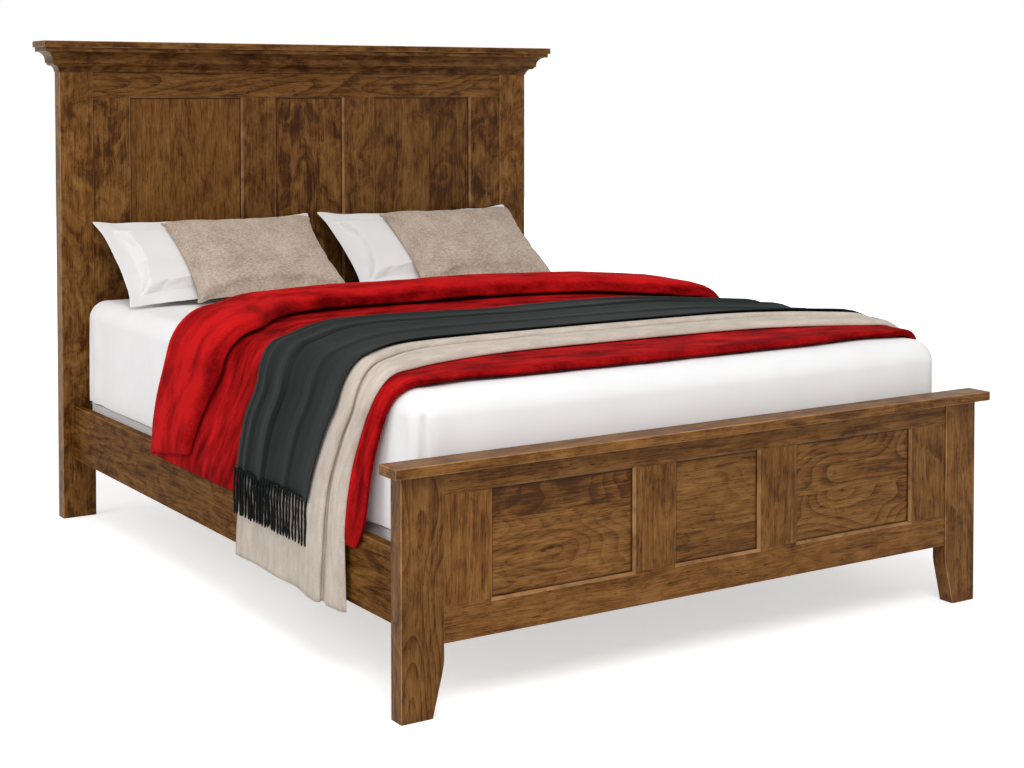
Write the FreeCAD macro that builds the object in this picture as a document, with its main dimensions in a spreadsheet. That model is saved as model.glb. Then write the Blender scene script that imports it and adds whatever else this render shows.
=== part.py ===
"""Panel bed, queen size, dressed with its bedding.

Row frame: X across the bed, +Y towards the headboard, +Z up. The origin lies on the floor,
under the middle of the whole bed's box. All sizes are in millimetres.
"""
import FreeCAD, Part
import Sketcher
import math
import os
import re

Vector = FreeCAD.Vector

# ---------------------------------------------------------------------------------------------
# Driving dimensions: name, value, meaning
# ---------------------------------------------------------------------------------------------
SIZE_ROWS = [
    # whole bed
    ("bed_width", 1651.0, "outside of post to outside of post"),
    ("inside_length", 2057.4, "footboard's back to headboard's face"),
    ("post_width", 101.6, "post across the bed"),
    ("post_depth", 44.5, "post along the bed"),
    ("head_height", 1436.0, "floor to the top of the headboard's cap"),
    ("foot_height", 530.0, "floor to the top of the footboard's cap"),
    ("edge_ease", 1.6, "small chamfer on the edges that a hand meets"),
    # frame and panels of both ends
    ("frame_depth", 25.4, "thickness of rails and stiles"),
    ("post_reveal", 4.0, "post stands this far in front of the frame"),
    ("stile_width", 120.6, "width of each stile"),
    ("center_panel", 237.0, "width of the middle panel's opening"),
    ("sticking", 6.0, "45 degree bevel round each panel's opening"),
    ("panel_recess", 9.0, "frame's face to panel's face"),
    ("panel_depth", 9.5, "thickness of a panel"),
    ("groove_depth", 10.0, "groove that holds a panel's edge"),
    ("groove_room", 1.0, "room for a panel to swell at its groove's bottom"),
    ("tenon_length", 38.0, "tenon of a rail in a post"),
    ("tenon_depth", 9.5, "thickness of a tenon"),
    ("tenon_shoulder", 10.0, "a tenon is this much lower than its rail, above and below"),
    ("tenon_room", 2.0, "glue room past a tenon's end"),
    # footboard
    ("foot_cap_depth", 22.2, "thickness of the footboard's cap"),
    ("foot_cap_overhang", 26.0, "cap past the posts, at the front and the ends"),
    ("foot_clearance", 150.0, "floor to the footboard's bottom rail"),
    ("foot_bottom_rail", 76.2, "height of the bottom rail"),
    ("foot_top_rail", 50.8, "height of the top rail"),
    ("toe_width", 74.8, "width of the tapered foot at the floor"),
    ("taper_height", 108.0, "height at which the foot starts to taper"),
    ("taper_round", 120.0, "radius where the taper starts"),
    # headboard
    ("head_cap_depth", 19.0, "thickness of the headboard's cap"),
    ("head_cap_overhang", 66.0, "cap past the posts, at the front and the ends"),
    ("head_top_rail", 151.0, "height of the top rail"),
    ("head_bottom_rail", 127.0, "height of the bottom rail"),
    ("head_clearance", 254.0, "floor to the bottom rail"),
    # crown moulding: how far each member stands out from the post, and its height
    ("fascia_out", 59.0, "upper fillet"),
    ("fascia_height", 12.5, "upper fillet"),
    ("cove_top_out", 52.0, "cove, at its top"),
    ("cove_foot_out", 30.0, "cove, at its foot"),
    ("cove_height", 33.0, "cove"),
    ("bead_out", 25.0, "bead"),
    ("bead_height", 8.0, "bead"),
    ("band_out", 13.0, "lower band, at its top"),
    ("band_foot_out", 2.0, "lower band, at its foot"),
    ("band_height", 18.0, "lower band"),
    # side rails, cleats and slats
    ("rail_height", 160.0, "height of a side rail"),
    ("rail_depth", 25.4, "thickness of a side rail"),
    ("rail_clearance", 178.0, "floor to a side rail"),
    ("rail_inset", 33.6, "post's outer face to the side rail's outer face"),
    ("cleat_size", 25.4, "square section of a cleat"),
    ("cleat_lift", 3.0, "cleat above the side rail's lower edge"),
    ("cleat_end", 40.0, "cleat's end to the post"),
    ("slat_width", 89.0, "slat along the bed"),
    ("slat_depth", 19.0, "thickness of a slat"),
    ("slat_room", 3.0, "slat's end to the side rail"),
    ("slat_end", 110.0, "first slat's middle to the post"),
    # hook-on rail plates
    ("plate_height", 127.0, "plate, up and down"),
    ("plate_width", 16.0, "plate, across"),
    ("plate_depth", 3.0, "thickness of a plate"),
    ("hook_width", 3.0, "thickness of a hook"),
    ("hook_nose", 5.0, "hook's nose behind the post's plate"),
    ("hook_room", 0.5, "running room round a hook"),
    ("plate_screw_inset", 6.5, "screw's middle to the plate's end"),
    # screws
    ("screw_radius", 2.1, "shank of a wood screw"),
    ("screw_head", 4.1, "radius of a countersunk head"),
    ("screw_head_height", 2.4, "height of a countersunk head"),
    ("screw_short", 32.0, "slat and plate screws"),
    ("screw_medium", 44.0, "cleat screws"),
    ("screw_long", 76.0, "leg screws"),
    # centre legs and levellers
    ("leg_size", 44.0, "square section of a centre leg"),
    ("stem_radius", 4.0, "levelling stem"),
    ("stem_length", 42.0, "levelling stem, above its pad's socket"),
    ("stem_room", 0.05, "running room round a stem"),
    ("insert_radius", 6.5, "threaded insert"),
    ("insert_length", 15.0, "threaded insert"),
    ("flange_radius", 11.0, "insert's flange"),
    ("flange_depth", 1.6, "insert's flange"),
    ("hex_size", 13.0, "stem's hexagon across its flats"),
    ("hex_height", 5.0, "stem's hexagon"),
    ("leveller_travel", 13.0, "room for the stem to screw in"),
    ("pad_radius", 17.0, "levelling pad"),
    ("pad_height", 9.0, "levelling pad"),
    ("socket_radius", 5.5, "ball end in the pad"),
    ("socket_depth", 5.0, "ball end in the pad"),
    # foundation and mattress
    ("mattress_side_room", 4.5, "side rail to the mattress, which is then 1524 mm wide"),
    ("mattress_end_room", 4.7, "board to the covered mattress, which is then 2048 mm long"),
    ("mattress_height", 308.0, "queen mattress"),
    ("mattress_crown", 58.0, "rounding of the mattress's top edges"),
    ("mattress_corner", 64.0, "rounding of the mattress's upright corners"),
    ("mattress_foot_round", 25.0, "rounding of the mattress's lower edges"),
    ("foundation_height", 127.0, "low foundation"),
    ("foundation_inset", 8.0, "foundation is this much smaller all round"),
    ("foundation_corner", 28.0, "rounding of the foundation's upright corners"),
    ("foundation_round", 6.0, "rounding of the foundation's edges"),
    ("soft_gap", 0.3, "air between a soft piece and its neighbour"),
    # pillows, measured along their lean
    ("pillow_lean", 36.0, "angle of the pillows' plane above the mattress, in degrees"),
    ("sham_gap", 10.0, "sham to the bed's middle"),
    ("sham_inset", 24.0, "sham to the mattress's side, which leaves it 728 mm wide"),
    ("sham_height", 405.0, "flanged sham, along its lean"),
    ("sham_flange", 38.0, "flat border round the sham"),
    ("flange_thickness", 5.0, "flat border"),
    ("sham_front", 28.0, "sham's crown towards the room"),
    ("sham_back", 62.0, "sham's crown towards the headboard"),
    ("cushion_width", 524.0, "taupe pillow, across the bed"),
    ("cushion_height", 390.0, "taupe pillow, along its lean"),
    ("cushion_left", -0.391, "left taupe pillow's middle, as a share of the mattress's half width"),
    ("cushion_right", 0.592, "right taupe pillow's middle, as a share of the mattress's half width"),
    ("cushion_front", 60.0, "taupe pillow's crown towards the room"),
    ("cushion_back", 6.0, "taupe pillow's crown towards the sham"),
    ("drawn_in", 13.0, "sides pulled in between the corners"),
    # blanket and throws: thickness, hem above the floor
    ("hem_share", 0.45, "share of a cloth's thickness that is left at its hem"),
    ("blanket_thickness", 20.0, "red blanket's lower layer"),
    ("roll_thickness", 78.0, "red blanket with its folded-back head end"),
    ("blanket_hem", 306.0, "red blanket's hem above the floor"),
    ("throw_thickness", 17.0, "beige throw"),
    ("throw_hem", 158.0, "beige throw's hem above the floor"),
    ("wrap_thickness", 9.0, "charcoal throw between its folds"),
    ("wrap_fold", 10.0, "height of the charcoal throw's folds"),
    ("wrap_hem", 368.0, "charcoal throw's hem above the floor"),
    ("fringe_length", 108.0, "charcoal throw's fringe"),
    ("fringe_thickness", 5.0, "charcoal throw's fringe"),
]
SIZES = {name: size for name, size, meaning in SIZE_ROWS}

SLATS = 5
CLEAT_SCREWS = 5
LEG_SLATS = (2, 4)
SIDES = {"left": -1, "right": 1}

# Where each cloth's edges lie along the bed, as shares of the inside length from the footboard:
# over the bed's middle, at the mattress's top edge, and at the hem.
BLANKET_EDGES = {
    "foot": (0.0513, 0.0440, 0.0941),
    "crease": (0.5835, 0.4693, 0.5373),
    "head": (0.7123, 0.6127, 0.6725),
}
THROW_EDGES = {
    "foot": (0.0975, 0.0732, 0.1154),
    "pleat": (0.1606, 0.1242, 0.1631),
    "head": (0.4182, 0.3356, 0.3925),
}
WRAP_EDGES = {
    "foot": (0.2117, 0.1329, 0.1942),
    "head": (0.4401, 0.3526, 0.3993),
}

doc = FreeCAD.newDocument("panel_bed")
sheet = doc.addObject("Spreadsheet::Sheet", "Sizes")
for row, (name, size, meaning) in enumerate(SIZE_ROWS, 1):
    sheet.set(f"A{row}", name)
    sheet.set(f"B{row}", str(size))
    sheet.set(f"C{row}", meaning)
    sheet.setAlias(f"B{row}", name)
doc.recompute()

# ---------------------------------------------------------------------------------------------
# Places worked out from the driving dimensions, as text that the sheet can evaluate
# ---------------------------------------------------------------------------------------------
HALF_WIDTH = "(bed_width / 2)"
# the footboard's face, behind its cap's overhang, and the headboard's face
FOOT_FACE = "(foot_cap_overhang - (inside_length + 2 * post_depth + foot_cap_overhang) / 2)"
FOOT_BACK = f"({FOOT_FACE} + post_depth)"
HEAD_FACE = f"({FOOT_BACK} + inside_length)"
FOOT_POST_TOP = "(foot_height - foot_cap_depth)"
HEAD_POST_TOP = "(head_height - head_cap_depth)"
FRAME_WIDTH = "(bed_width - 2 * post_width)"
SIDE_PANEL = f"(({FRAME_WIDTH} - 4 * stile_width - center_panel) / 2)"
RAIL_OUTER = f"({HALF_WIDTH} - rail_inset)"
RAIL_INNER = f"({RAIL_OUTER} - rail_depth)"
PLATE_MIDDLE = "(rail_inset + rail_depth / 2)"
PLATE_FOOT = "(rail_clearance + (rail_height - plate_height) / 2)"
CLEAT_TOP = "(rail_clearance + cleat_lift + cleat_size)"
SLAT_TOP = f"({CLEAT_TOP} + slat_depth)"
HOOK_SPACING = "(plate_height / 2)"
HOOK_HEIGHT = "(plate_height * 0.19)"
HOOK_DROP = "(plate_height * 0.055)"
SLAT_STEP = f"((inside_length - 2 * slat_end) / {SLATS - 1})"
MATTRESS_FOOT = f"({SLAT_TOP} + foundation_height + 2 * soft_gap)"
MATTRESS_TOP = f"({MATTRESS_FOOT} + mattress_height)"
MATTRESS_WIDTH = f"(2 * {RAIL_INNER} - 2 * mattress_side_room)"
MATTRESS_LENGTH = "(inside_length - 2 * mattress_end_room)"
TENON_FRONT = "(panel_recess + (panel_depth - tenon_depth) / 2)"
LEG_FOOT = "(pad_height + hex_height + leveller_travel + flange_depth)"


def prefixed(text):
    """Name the sheet before each of its aliases in an expression."""
    def with_sheet(word):
        return f"Sizes.{word[0]}" if word[0] in SIZES else word[0]

    return re.sub(r"[a-z_]\w*", with_sheet, text)


def size_of(text):
    """Value of an expression, in millimetres or degrees."""
    result = sheet.evalExpression(prefixed(str(text)))
    return float(getattr(result, "Value", result))


def bind(item, prop, text):
    item.setExpression(prop, prefixed(str(text)))


def place(item, x, y, z):
    """Put a sub-part's own origin at a place of the row frame."""
    for axis, text in zip("xyz", (x, y, z)):
        bind(item, f".Placement.Base.{axis}", text)


# ---------------------------------------------------------------------------------------------
# Sketches and features
# ---------------------------------------------------------------------------------------------
def new_body(label, x="0", y="0", z="0"):
    body = doc.addObject("PartDesign::Body", label)
    body.Label = label
    place(body, x, y, z)
    return body


def new_sketch(body, name, role, offset="0"):
    """Sketch on one of the body's own origin planes, moved along the plane's normal."""
    sketch = body.newObject("Sketcher::SketchObject", f"{body.Label}_{name}")
    plane = next(item for item in body.Origin.OriginFeatures if item.Role == role)
    sketch.AttachmentSupport = [(plane, "")]
    sketch.MapMode = "FlatFace"
    bind(sketch, "AttachmentOffset.Base.z", offset)
    return sketch


def hold_point(sketch, line, end, x, y, tag):
    """Bind one end point of a sketch line to an X and a Y expression."""
    for kind, text, axis in (("DistanceX", x, "x"), ("DistanceY", y, "y")):
        index = sketch.addConstraint(Sketcher.Constraint(kind, -1, 1, line, end, size_of(text)))
        sketch.renameConstraint(index, f"{axis}{tag}")
        bind(sketch, f"Constraints.{axis}{tag}", text)


def draw_outline(sketch, corners, bends=()):
    """Closed outline through corners given as (x, y) expressions.

    bends maps the number of an edge to the (x, y) of its arc's middle and to its radius.
    """
    bends = dict(bends)
    first = sketch.GeometryCount
    points = [Vector(size_of(x), size_of(y), 0) for x, y in corners]
    count = len(points)
    ends = []
    for index, start in enumerate(points):
        stop = points[(index + 1) % count]
        turned = False
        if index in bends:
            (mid_x, mid_y), radius = bends[index]
            middle = Vector(size_of(mid_x), size_of(mid_y), 0)
            # a sketch holds its arcs anticlockwise
            turned = (middle - start).cross(stop - middle).z < 0
            arc = (stop, middle, start) if turned else (start, middle, stop)
            sketch.addGeometry(Part.Arc(*arc), False)
        else:
            sketch.addGeometry(Part.LineSegment(start, stop), False)
        ends.append((2, 1) if turned else (1, 2))
    for index, (x, y) in enumerate(corners):
        line = first + index
        follow = (index + 1) % count
        joint = (line, ends[index][1], first + follow, ends[follow][0])
        sketch.addConstraint(Sketcher.Constraint("Coincident", *joint))
        hold_point(sketch, line, ends[index][0], x, y, f"{line}")
        if index in bends:
            radius = bends[index][1]
            held = sketch.addConstraint(Sketcher.Constraint("Radius", line, size_of(radius)))
            sketch.renameConstraint(held, f"r{line}")
            bind(sketch, f"Constraints.r{line}", radius)


def draw_rectangle(sketch, x, y, width, height):
    right, top = f"({x}) + ({width})", f"({y}) + ({height})"
    draw_outline(sketch, [(x, y), (right, y), (right, top), (x, top)])


def draw_circle(sketch, x, y, radius):
    centre = Vector(size_of(x), size_of(y), 0)
    line = sketch.addGeometry(Part.Circle(centre, Vector(0, 0, 1), size_of(radius)), False)
    hold_point(sketch, line, 3, x, y, f"{line}")
    held = sketch.addConstraint(Sketcher.Constraint("Radius", line, size_of(radius)))
    sketch.renameConstraint(held, f"r{line}")
    bind(sketch, f"Constraints.r{line}", radius)


def along_normal(sketch, toward):
    """Whether the row frame's positive (1) or negative (-1) way is the sketch's normal."""
    normal = -1 if sketch.AttachmentSupport[0][0].Role == "XZ_Plane" else 1
    return toward == normal


def finish_feature(body, feature, sketch, length):
    feature.Profile = sketch
    bind(feature, "Length", length)
    body.Tip = feature
    return feature


def pad(body, sketch, length, toward=1):
    """Add material from the sketch's plane, towards the plus (1) or minus (-1) side."""
    feature = body.newObject("PartDesign::Pad", f"{sketch.Name}_pad")
    feature.Reversed = not along_normal(sketch, toward)
    return finish_feature(body, feature, sketch, length)


def pocket(body, sketch, length, toward=1, taper=0):
    """Cut from the sketch's plane towards one side, and make sure that material goes."""
    doc.recompute()
    before = body.Shape.Volume
    feature = body.newObject("PartDesign::Pocket", f"{sketch.Name}_pocket")
    feature.Reversed = along_normal(sketch, toward)
    finish_feature(body, feature, sketch, length)
    feature.TaperAngle = taper
    doc.recompute()
    if not body.Shape.Volume < before - 1e-3:
        raise ValueError(f"{sketch.Name} cuts nothing")
    return feature


def edges_where(body, test):
    """Names of the edges whose box and direction pass a test."""
    doc.recompute()
    return [f"Edge{n}" for n, edge in enumerate(body.Tip.Shape.Edges, 1) if test(edge)]


def dress(body, kind, name, edges, radius):
    """Fillet or chamfer the named edges of the body's last feature."""
    if not edges:
        raise ValueError(f"{body.Label}: no edge for {name}")
    base = body.Tip
    feature = body.newObject(f"PartDesign::{kind}", f"{body.Label}_{name}")
    feature.Base = (base, edges)
    bind(feature, "Radius" if kind == "Fillet" else "Size", radius)
    body.Tip = feature
    return feature


def runs_along(edge, axis):
    """Whether an edge is a straight line along X, Y or Z."""
    if edge.Curve.TypeId != "Part::GeomLine":
        return False
    direction = edge.Curve.Direction
    return abs(abs(getattr(direction, axis)) - 1) < 1e-6


def at(edge, axis, text):
    """Whether an edge's middle lies at a place along X, Y or Z of its body."""
    return abs(getattr(edge.BoundBox.Center, axis) - size_of(text)) < 1e-4


# ---------------------------------------------------------------------------------------------
# Frame and panel ends
# ---------------------------------------------------------------------------------------------
def cut_mortise(body, name, turn, z, height):
    """Blind mortise for a rail's tenon, in the post's inner side.

    turn is "" on a left post, whose inner side lies towards +X, and "-" on a right post.
    """
    sketch = new_sketch(body, name, "XZ_Plane", f"-(post_reveal + {TENON_FRONT})")
    start = f"{turn}(post_width - tenon_length - tenon_room)"
    width = f"{turn}(tenon_length + tenon_room + 1)"
    draw_rectangle(sketch, start, f"{z} + tenon_shoulder", width, f"{height} - 2 * tenon_shoulder")
    pocket(body, sketch, "tenon_depth")


def cut_plate_seat(body, turn, face, inward):
    """Recess for the slotted plate, with room for its hooks and holes for its screws.

    face is the plate's outer side along Y, and inward is 1 where the post lies towards +Y of it.
    """
    middle = f"{turn}{PLATE_MIDDLE}"
    seat = new_sketch(body, "plate_seat", "XZ_Plane", f"-({face})")
    draw_rectangle(seat, f"{middle} - plate_width / 2", PLATE_FOOT, "plate_width", "plate_height")
    pocket(body, seat, "plate_depth", inward)
    room = new_sketch(body, "hook_room", "XZ_Plane", f"-({face})")
    for hook in (-1, 1):
        foot = f"{hook_foot(hook)} - {HOOK_DROP} - hook_room"
        height = f"{HOOK_HEIGHT} + {HOOK_DROP} + 2 * hook_room"
        left = f"{middle} - hook_width / 2 - hook_room"
        draw_rectangle(room, left, foot, "hook_width + 2 * hook_room", height)
    pocket(body, room, "plate_depth + hook_nose + 3 * hook_room", inward)
    holes = new_sketch(body, "plate_holes", "XZ_Plane", f"-({face})")
    for z in plate_screw_heights():
        draw_circle(holes, middle, z, "screw_radius")
    pocket(body, holes, "screw_short", inward)


def hook_foot(hook):
    """Height of a hook's neck above the floor: -1 is the lower hook and 1 the upper one."""
    return f"(rail_clearance + rail_height / 2 + {hook} * {HOOK_SPACING} / 2 - {HOOK_HEIGHT} / 2)"


def plate_screw_heights():
    return [f"({PLATE_FOOT} + plate_screw_inset)", f"({PLATE_FOOT} + plate_height - plate_screw_inset)"]


def ease_post(body, turn):
    """Small chamfers on the post's four upright edges."""
    upright = [
        (f"{turn}0", "0"), (f"{turn}0", "post_depth"),
        (f"{turn}post_width", "0"), (f"{turn}post_width", "post_depth"),
    ]

    def at_corner(edge):
        return runs_along(edge, "z") and any(at(edge, "x", x) and at(edge, "y", y) for x, y in upright)

    dress(body, "Chamfer", "ease", edges_where(body, at_corner), "edge_ease")


def make_foot_post(side):
    """Footboard post: straight outside, and tapered on its inner side below the bottom rail."""
    turn = "" if side == "left" else "-"
    outer = f"-{HALF_WIDTH}" if side == "left" else HALF_WIDTH
    body = new_body(f"foot_post_{side}", outer, FOOT_FACE)
    front = new_sketch(body, "front", "XZ_Plane")
    draw_outline(front, [
        ("0", "0"),
        (f"{turn}toe_width", "0"),
        (f"{turn}post_width", "taper_height"),
        (f"{turn}post_width", FOOT_POST_TOP),
        ("0", FOOT_POST_TOP),
    ])
    pad(body, front, "post_depth")

    def at_knee(edge):
        place_x, place_z = at(edge, "x", f"{turn}post_width"), at(edge, "z", "taper_height")
        return runs_along(edge, "y") and place_x and place_z

    dress(body, "Fillet", "knee", edges_where(body, at_knee), "taper_round")
    cut_mortise(body, "lower_mortise", turn, "foot_clearance", "foot_bottom_rail")
    cut_mortise(body, "upper_mortise", turn, f"({FOOT_POST_TOP} - foot_top_rail)", "foot_top_rail")
    cut_plate_seat(body, turn, "post_depth", -1)
    ease_post(body, turn)
    return body


def make_head_post(side):
    """Headboard post: straight from the floor to the cap."""
    turn = "" if side == "left" else "-"
    outer = f"-{HALF_WIDTH}" if side == "left" else HALF_WIDTH
    body = new_body(f"head_post_{side}", outer, HEAD_FACE)
    front = new_sketch(body, "front", "XZ_Plane")
    draw_rectangle(front, "0", "0", f"{turn}post_width", HEAD_POST_TOP)
    pad(body, front, "post_depth")
    cut_mortise(body, "lower_mortise", turn, "head_clearance", "head_bottom_rail")
    cut_mortise(body, "upper_mortise", turn, f"({HEAD_POST_TOP} - head_top_rail)", "head_top_rail")
    cut_plate_seat(body, turn, "0", 1)
    ease_post(body, turn)
    return body


def panel_openings():
    """Left edge and width of the three panel openings, from the frame's middle."""
    return [
        (f"(-center_panel / 2 - stile_width - {SIDE_PANEL})", SIDE_PANEL),
        ("(-center_panel / 2)", "center_panel"),
        ("(center_panel / 2 + stile_width)", SIDE_PANEL),
    ]


def stile_places():
    """Left edge of the four stiles, from the frame's middle."""
    return [
        f"(-{FRAME_WIDTH} / 2)",
        "(-center_panel / 2 - stile_width)",
        "(center_panel / 2)",
        f"({FRAME_WIDTH} / 2 - stile_width)",
    ]


def cut_sticking(body, openings, foot, height):
    """45 degree bevel that a panel opening leaves on the member's front."""
    sketch = new_sketch(body, "sticking", "XZ_Plane")
    for left, width in openings:
        draw_rectangle(
            sketch, f"{left} - sticking", f"{foot} - sticking",
            f"{width} + 2 * sticking", f"{height} + 2 * sticking",
        )
    pocket(body, sketch, "sticking", taper=-45)


def cut_groove(body, z, span):
    """Groove along a rail's edge: z is its lower side and span its height."""
    sketch = new_sketch(body, "groove", "XZ_Plane", "-panel_recess")
    draw_rectangle(sketch, f"-{FRAME_WIDTH} / 2", z, FRAME_WIDTH, span)
    pocket(body, sketch, "panel_depth")


def make_end_rail(label, face, foot, height, opening_foot, opening_height, groove_up):
    """Rail between two posts, with a tenon at each end, a groove and the openings' bevels.

    The body's own origin lies in the bed's middle, at the frame's face, on the floor.
    """
    body = new_body(label, "0", f"{face} + post_reveal")
    front = new_sketch(body, "front", "XZ_Plane")
    draw_rectangle(front, f"-{FRAME_WIDTH} / 2", foot, FRAME_WIDTH, height)
    pad(body, front, "frame_depth")
    tenons = new_sketch(body, "tenons", "XZ_Plane", f"-{TENON_FRONT}")
    draw_rectangle(
        tenons, f"-{FRAME_WIDTH} / 2 - tenon_length", f"{foot} + tenon_shoulder",
        f"{FRAME_WIDTH} + 2 * tenon_length", f"{height} - 2 * tenon_shoulder",
    )
    pad(body, tenons, "tenon_depth")
    groove_foot = f"{foot} + {height} - groove_depth" if groove_up else foot
    cut_groove(body, groove_foot, "groove_depth")
    cut_sticking(body, panel_openings(), opening_foot, opening_height)
    return body


def make_stile(label, face, left, neighbours, opening_foot, opening_height):
    """Stile between two rails, with stub tenons in their grooves and grooves for the panels.

    neighbours lists the panel openings that the stile borders.
    """
    body = new_body(label, "0", f"{face} + post_reveal")
    front = new_sketch(body, "front", "XZ_Plane")
    draw_rectangle(front, left, opening_foot, "stile_width", opening_height)
    pad(body, front, "frame_depth")
    stubs = new_sketch(body, "stubs", "XZ_Plane", "-panel_recess")
    reach = "(groove_depth - groove_room)"
    stub_height = f"{opening_height} + 2 * {reach}"
    draw_rectangle(stubs, left, f"{opening_foot} - {reach}", "stile_width", stub_height)
    pad(body, stubs, "panel_depth")
    grooves = new_sketch(body, "grooves", "XZ_Plane", "-panel_recess")
    for opening_left, width in neighbours:
        on_right = size_of(opening_left) > size_of(left)
        groove_left = f"{left} + stile_width - groove_depth" if on_right else left
        foot = f"{opening_foot} - groove_depth"
        draw_rectangle(grooves, groove_left, foot, "groove_depth", f"{opening_height} + 2 * groove_depth")
    pocket(body, grooves, "panel_depth")
    cut_sticking(body, neighbours, opening_foot, opening_height)
    return body


def make_panel(label, face, left, width, opening_foot, opening_height):
    """Flat panel that floats in the grooves round its opening."""
    body = new_body(label, "0", f"{face} + post_reveal + panel_recess")
    reach = "(groove_depth - groove_room)"
    front = new_sketch(body, "front", "XZ_Plane")
    draw_rectangle(
        front, f"{left} - {reach}", f"{opening_foot} - {reach}",
        f"{width} + 2 * {reach}", f"{opening_height} + 2 * {reach}",
    )
    pad(body, front, "panel_depth")
    return body


def make_panelled_end(prefix, face, rails):
    """Rails, stiles and panels of the footboard or the headboard.

    rails gives the foot and the height of the bottom rail and of the top rail.
    """
    (low_foot, low_height), (top_foot, top_height) = rails
    opening_foot = f"({low_foot} + {low_height})"
    opening_height = f"({top_foot} - {opening_foot})"
    opening = (opening_foot, opening_height)
    bodies = [
        make_end_rail(f"{prefix}_bottom_rail", face, low_foot, low_height, *opening, True),
        make_end_rail(f"{prefix}_top_rail", face, top_foot, top_height, *opening, False),
    ]
    openings = panel_openings()
    bordering = [openings[:1], openings[:2], openings[1:], openings[2:]]
    for number, (left, neighbours) in enumerate(zip(stile_places(), bordering), 1):
        bodies.append(make_stile(f"{prefix}_stile_{number}", face, left, neighbours, *opening))
    for name, (left, width) in zip(("left", "middle", "right"), openings):
        bodies.append(make_panel(f"{prefix}_panel_{name}", face, left, width, *opening))
    return bodies


def make_cap(label, face, foot, height, overhang):
    """Flat cap, flush with the posts' back and past them at the front and the ends."""
    body = new_body(label, f"-{HALF_WIDTH} - {overhang}", f"{face} - {overhang}", foot)
    plan = new_sketch(body, "plan", "XY_Plane")
    draw_rectangle(plan, "0", "0", f"bed_width + 2 * {overhang}", f"post_depth + {overhang}")
    pad(body, plan, height)
    back = f"post_depth + {overhang}"
    edges = edges_where(body, lambda edge: not at(edge, "y", back))
    dress(body, "Chamfer", "ease", edges, "edge_ease")
    return body


# ---------------------------------------------------------------------------------------------
# Crown moulding under the headboard's cap
# ---------------------------------------------------------------------------------------------
def draw_crown_profile(sketch, turn):
    """Section of the crown, its back at 0 and its top at 0; turn is the sign of its outer side."""
    cove_foot = "-(fascia_height + cove_height)"
    bead_foot = "-(fascia_height + cove_height + bead_height)"
    band_foot = "-(fascia_height + cove_height + bead_height + band_height)"
    cove_radius = "(cove_height * 0.84)"
    band_radius = "(band_height * 1.25)"
    corners = [
        ("0", "0"),
        (f"{turn}fascia_out", "0"),
        (f"{turn}fascia_out", "-fascia_height"),
        (f"{turn}cove_top_out", "-fascia_height"),
        (f"{turn}cove_foot_out", cove_foot),
        (f"{turn}bead_out", cove_foot),
        (f"{turn}(bead_out - bead_height)", bead_foot),
        (f"{turn}band_out", bead_foot),
        (f"{turn}band_foot_out", band_foot),
        ("0", band_foot),
    ]
    bends = {
        3: (arc_middle(corners[3], corners[4], cove_radius, turn, -1), cove_radius),
        5: (arc_middle(corners[5], corners[6], "bead_height", turn, 1), "bead_height"),
        7: (arc_middle(corners[7], corners[8], band_radius, turn, -1), band_radius),
    }
    draw_outline(sketch, corners, bends)


def arc_middle(start, stop, radius, turn, bulge):
    """Middle point of an arc of the crown; bulge is 1 where it swells and -1 where it is hollow."""
    x1, y1, x2, y2 = (size_of(text) for text in (*start, *stop))
    half = math.hypot(x2 - x1, y2 - y1) / 2
    reach = size_of(radius)
    sagitta = reach - math.sqrt(reach ** 2 - half ** 2)
    out = -1 if turn == "-" else 1
    # unit normal of the chord that points away from the post
    nx, ny = (y1 - y2) / (2 * half), (x2 - x1) / (2 * half)
    if nx * out < 0:
        nx, ny = -nx, -ny
    return (str((x1 + x2) / 2 + bulge * sagitta * nx), str((y1 + y2) / 2 + bulge * sagitta * ny))


def make_crown_front():
    """Long crown piece across the headboard, mitred at both ends."""
    body = new_body("headboard_crown_front", f"-{HALF_WIDTH} - fascia_out", HEAD_FACE, HEAD_POST_TOP)
    section = new_sketch(body, "section", "YZ_Plane")
    draw_crown_profile(section, "-")
    length = "bed_width + 2 * fascia_out"
    pad(body, section, length)
    mitre = new_sketch(body, "mitre", "XY_Plane")
    draw_outline(mitre, [("-1", "1"), ("fascia_out + 1", "1"), ("-1", "-fascia_out - 1")])
    right = f"({length})"
    draw_outline(mitre, [
        (f"{right} + 1", "1"), (f"{right} + 1", "-fascia_out - 1"), (f"{right} - fascia_out - 1", "1"),
    ])
    pocket(body, mitre, "head_height", -1)
    return body


def make_crown_return(side):
    """Short crown piece along the outer side of a post, mitred at its front end."""
    turn = "-" if side == "left" else ""
    outer = f"-{HALF_WIDTH}" if side == "left" else HALF_WIDTH
    body = new_body(f"headboard_crown_{side}", outer, f"{HEAD_FACE} - fascia_out", HEAD_POST_TOP)
    section = new_sketch(body, "section", "XZ_Plane")
    draw_crown_profile(section, turn)
    pad(body, section, "fascia_out + post_depth")
    mitre = new_sketch(body, "mitre", "XY_Plane")
    draw_outline(mitre, [
        (f"{turn}(-1)", "-1"), (f"{turn}(fascia_out + 1)", "-1"), (f"{turn}(-1)", "fascia_out + 1"),
    ])
    pocket(body, mitre, "head_height", -1)
    return body


# ---------------------------------------------------------------------------------------------
# Side rails, cleats, slats and centre legs
# ---------------------------------------------------------------------------------------------
def slat_middle(number):
    """Middle of a slat along the bed, from the footboard's back."""
    return f"(slat_end + {number - 1} * {SLAT_STEP})"


def cleat_screw_place(number):
    """A cleat screw along the bed, from the footboard's back, clear of the slats' screws."""
    if number < SLATS:
        return f"(slat_end + ({number} - 0.5) * {SLAT_STEP})"
    return "(inside_length - (slat_end + cleat_end) / 2)"


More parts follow.
